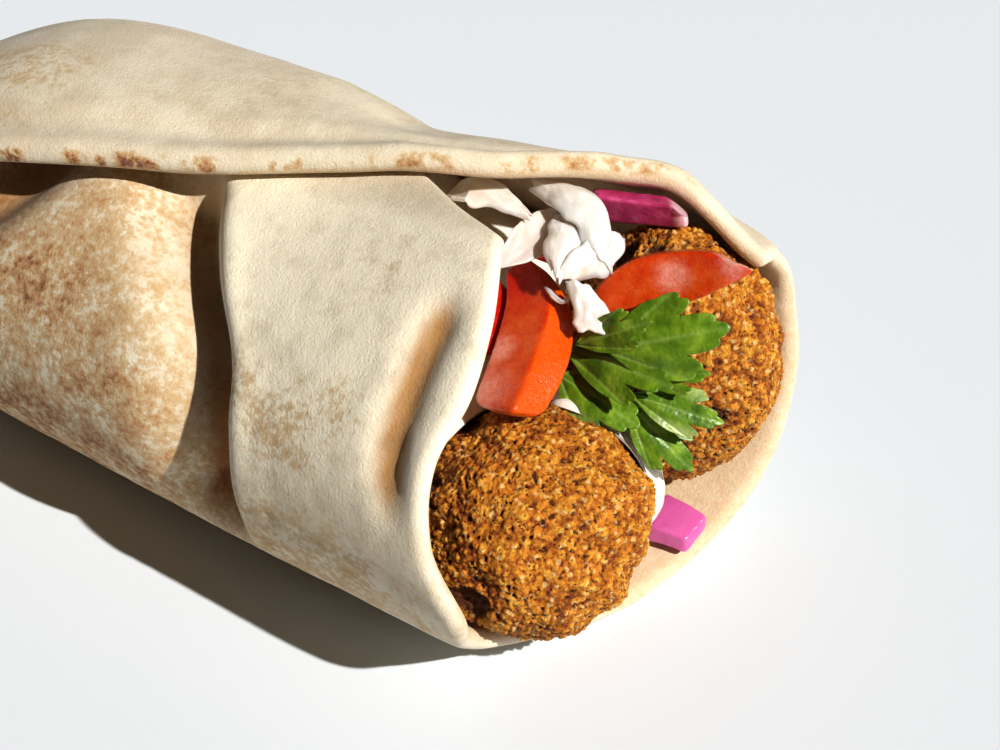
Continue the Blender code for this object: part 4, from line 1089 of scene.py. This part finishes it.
# Each leaflet: base, tip, half width, side it faces, droop, half spread in degrees, paleness, which is a painted
# sheen, and on parsley_7 also its paler curled underside
LEAVES = {
    "parsley_1": ((71.0, 4.6, 46.8), (88.0, 13.2, 53.6), 7.0, VIEW_SIDE, 0.9, 60.0, 0.0),
    "parsley_2": ((65.4, 4.0, 45.6), (77.6, 7.0, 54.0), 3.4, (0.3, -0.8, 0.5), 0.5, 42.0, 0.0),
    "parsley_3": ((62.0, 5.8, 42.4), (83.4, 4.4, 45.4), 5.4, (0.4, -0.5, 0.75), 1.2, 36.0, 0.0),
    "parsley_4": ((75.4, 6.2, 43.0), (87.0, 9.4, 46.4), 3.4, VIEW_SIDE, 0.4, 46.0, 0.0),
    "parsley_5": ((63.6, 2.6, 39.6), (79.2, 2.0, 37.0), 6.2, (0.4, -0.5, 0.75), 0.6, 62.0, 0.25),
    "parsley_6": ((75.0, 4.7, 38.0), (86.6, 6.7, 27.8), 4.6, VIEW_SIDE, 0.5, 46.0, 0.0),
    "parsley_7": ((75.6, 4.4, 40.2), (90.0, 9.8, 37.4), 4.0, VIEW_SIDE, 0.9, 40.0, 0.4),
}
# The rim: depth and sharpness of the lobes and their teeth, and how the reach falls to the sides
LOBES, LOBE_DEPTH, LOBE_POWER, TOOTH_DEPTH, TOOTH_POWER, TEETH_PER_LOBE = 3, 0.26, 2.2, 0.07, 1.8, 3
SIDE_FALL, SIDE_POWER = 0.50, 2.2
LEAF_RINGS, LEAF_FIRST_RING, LEAF_RIM, LEAF_STEPS = 36, 0.03, [0.98, 0.993, 1.0], 180
LEAF_HALF = 0.2
RIB_WIDTH, RIB_DEPTH, CUP_WIDTH, CUP_DEPTH, FOLD = 1.5, 0.16, 0.6, 0.35, 0.10
LEAF_TWIST, LEAF_TWIST_RATE, LEAF_WAVE, LEAF_WAVE_SIZE = 0.35, 7, 0.5, 5.0


def saw(angle, spread, teeth):
    """0 in the middle of each tooth that the leaf's spread is split into, and 1 between them."""
    return np.abs(np.modf((angle + spread) * teeth / (2.001 * spread))[0] * 2 - 1)


def leaf_reach(angle, spread):
    """How far the leaf reaches at an angle from its base: wide at the tip, cut into lobes that end in small teeth."""
    outline = 1 - SIDE_FALL * (np.abs(angle) / spread) ** SIDE_POWER
    lobe, tooth = saw(angle, spread, LOBES), saw(angle, spread, TEETH_PER_LOBE * LOBES)
    return outline * (1 - LOBE_DEPTH * lobe**LOBE_POWER) * (1 - TOOTH_DEPTH * tooth**TOOTH_POWER)


def make_leaf(name, base, tip, half_width, facing, droop, spread, pale, look, seed):
    """A fan about the leaf's base: its rim is leaf_reach, and ribs run from the base into the lobes."""
    rings = np.concatenate([np.linspace(LEAF_FIRST_RING, 0.96, LEAF_RINGS), LEAF_RIM])
    r, angle = np.meshgrid(rings, np.linspace(-spread, spread, LEAF_STEPS), indexing="ij")
    base, tip, facing = np.array(base, float), np.array(tip, float), np.array(facing, float)
    along = tip - base
    length = np.linalg.norm(along)
    along = along / length
    side = unit(np.cross(facing, along))
    up = unit(np.cross(along, side))
    turn = np.radians(angle)
    reach = leaf_reach(angle, spread) * r
    run, off = reach * np.cos(turn), reach * np.sin(turn)
    run, off = run * length, off * half_width / np.abs(off).max()
    middles = (np.arange(LOBES) + 0.5) * 2 * spread / LOBES - spread
    rib = np.max([hump(angle, middle, RIB_WIDTH / np.maximum(r, 0.15)) for middle in middles], axis=0)
    cup = np.max([hump(angle, middle, CUP_WIDTH * spread / LOBES) for middle in middles], axis=0)
    twist = LEAF_TWIST * np.sin(run / length * LEAF_TWIST_RATE + seed) * off / half_width
    spots = np.stack([run / LEAF_WAVE_SIZE, off / LEAF_WAVE_SIZE, np.full_like(run, seed)], -1)
    fold = FOLD * np.abs(off) + RIB_DEPTH * rib * (1 - 0.5 * r) + CUP_DEPTH * cup * r
    bend = droop * 4 * (run / length) * (1 - run / length)
    lift = bend + twist + LEAF_WAVE * layered_noise(spots, 2, seed) - fold
    points = base + along * run[..., None] + side * off[..., None] + up * lift[..., None]
    half = rounded_half(edge_distance(points), LEAF_HALF, LEAF_HALF)
    veins = np.clip(rib * (1.1 - 0.6 * r), 0, 1)
    # Painted sheen and paler curled edges towards the sides of the leaflet
    pale_part = pale * ease((np.abs(off) / half_width - 0.35) / 0.5)
    marks = {"vein": (veins, veins), "pale": (pale_part, pale_part)}
    place = np.stack([run, off], -1) / 100.0
    leaf = sheet_object(name + "_leaf", points, half, np.broadcast_to(up, points.shape), marks, look, place)
    stand_in(leaf, "parsley", name)


def make_parsley():
    look = parsley_look()
    for seed, (name, leaf) in enumerate(LEAVES.items(), 3):
        make_leaf(name, *leaf, look, seed)


# The table, the light and the view

def make_studio():
    mesh = bpy.data.meshes.new("table_top")
    corners = [(-1, -1), (1, -1), (1, 1), (-1, 1)]
    mesh.from_pydata([(x * TABLE_HALF, y * TABLE_HALF, TABLE_Z) for x, y in corners], [], [(0, 1, 2, 3)])
    mesh.materials.append(Look("white table").finish(TABLE_COLOUR, TABLE_ROUGHNESS))
    add_object("table_top", mesh)

    sun = bpy.data.lights.new("sun", "SUN")
    sun.energy, sun.angle, sun.color = SUN_STRENGTH, math.radians(SUN_SPREAD), SUN_COLOUR
    add_object("sun", sun).rotation_euler = Vector(SUN_FROM).to_track_quat("Z", "Y").to_euler()

    fill = bpy.data.lights.new("fill", "AREA")
    fill.energy, fill.size, fill.color = FILL_POWER, FILL_SIZE, FILL_COLOUR
    window = add_object("fill", fill, Vector(AIM) + Vector(FILL_FROM).normalized() * FILL_DISTANCE)
    window.rotation_euler = Vector(FILL_FROM).to_track_quat("Z", "Y").to_euler()

    scene = bpy.context.scene
    scene.world = bpy.data.worlds.new("soft room")
    scene.world.use_nodes = True
    scene.world.node_tree.nodes["Background"].inputs["Color"].default_value = SKY_COLOUR
    scene.view_settings.view_transform = "Standard"
    scene.view_settings.gamma = DISPLAY_GAMMA

    azimuth, elevation = math.radians(VIEW_AZIMUTH), math.radians(VIEW_ELEVATION)
    level = math.cos(elevation)
    back = Vector((math.sin(azimuth) * level, -math.cos(azimuth) * level, math.sin(elevation)))
    camera = bpy.data.cameras.new("view")
    camera.lens, camera.sensor_width = LENS, SENSOR
    viewer = add_object("view", camera, Vector(AIM) + back * VIEW_DISTANCE)
    viewer.rotation_euler = (-back).to_track_quat("-Z", "Y").to_euler()
    scene.camera = viewer


make_studio()
make_bread()
make_falafel("falafel_front", FRONT_BALL, FRONT_CREVICES, 100)
make_falafel("falafel_rear", REAR_BALL, REAR_CREVICES, 140)
make_sauce()
make_tomatoes()
make_cabbage()
make_parsley()
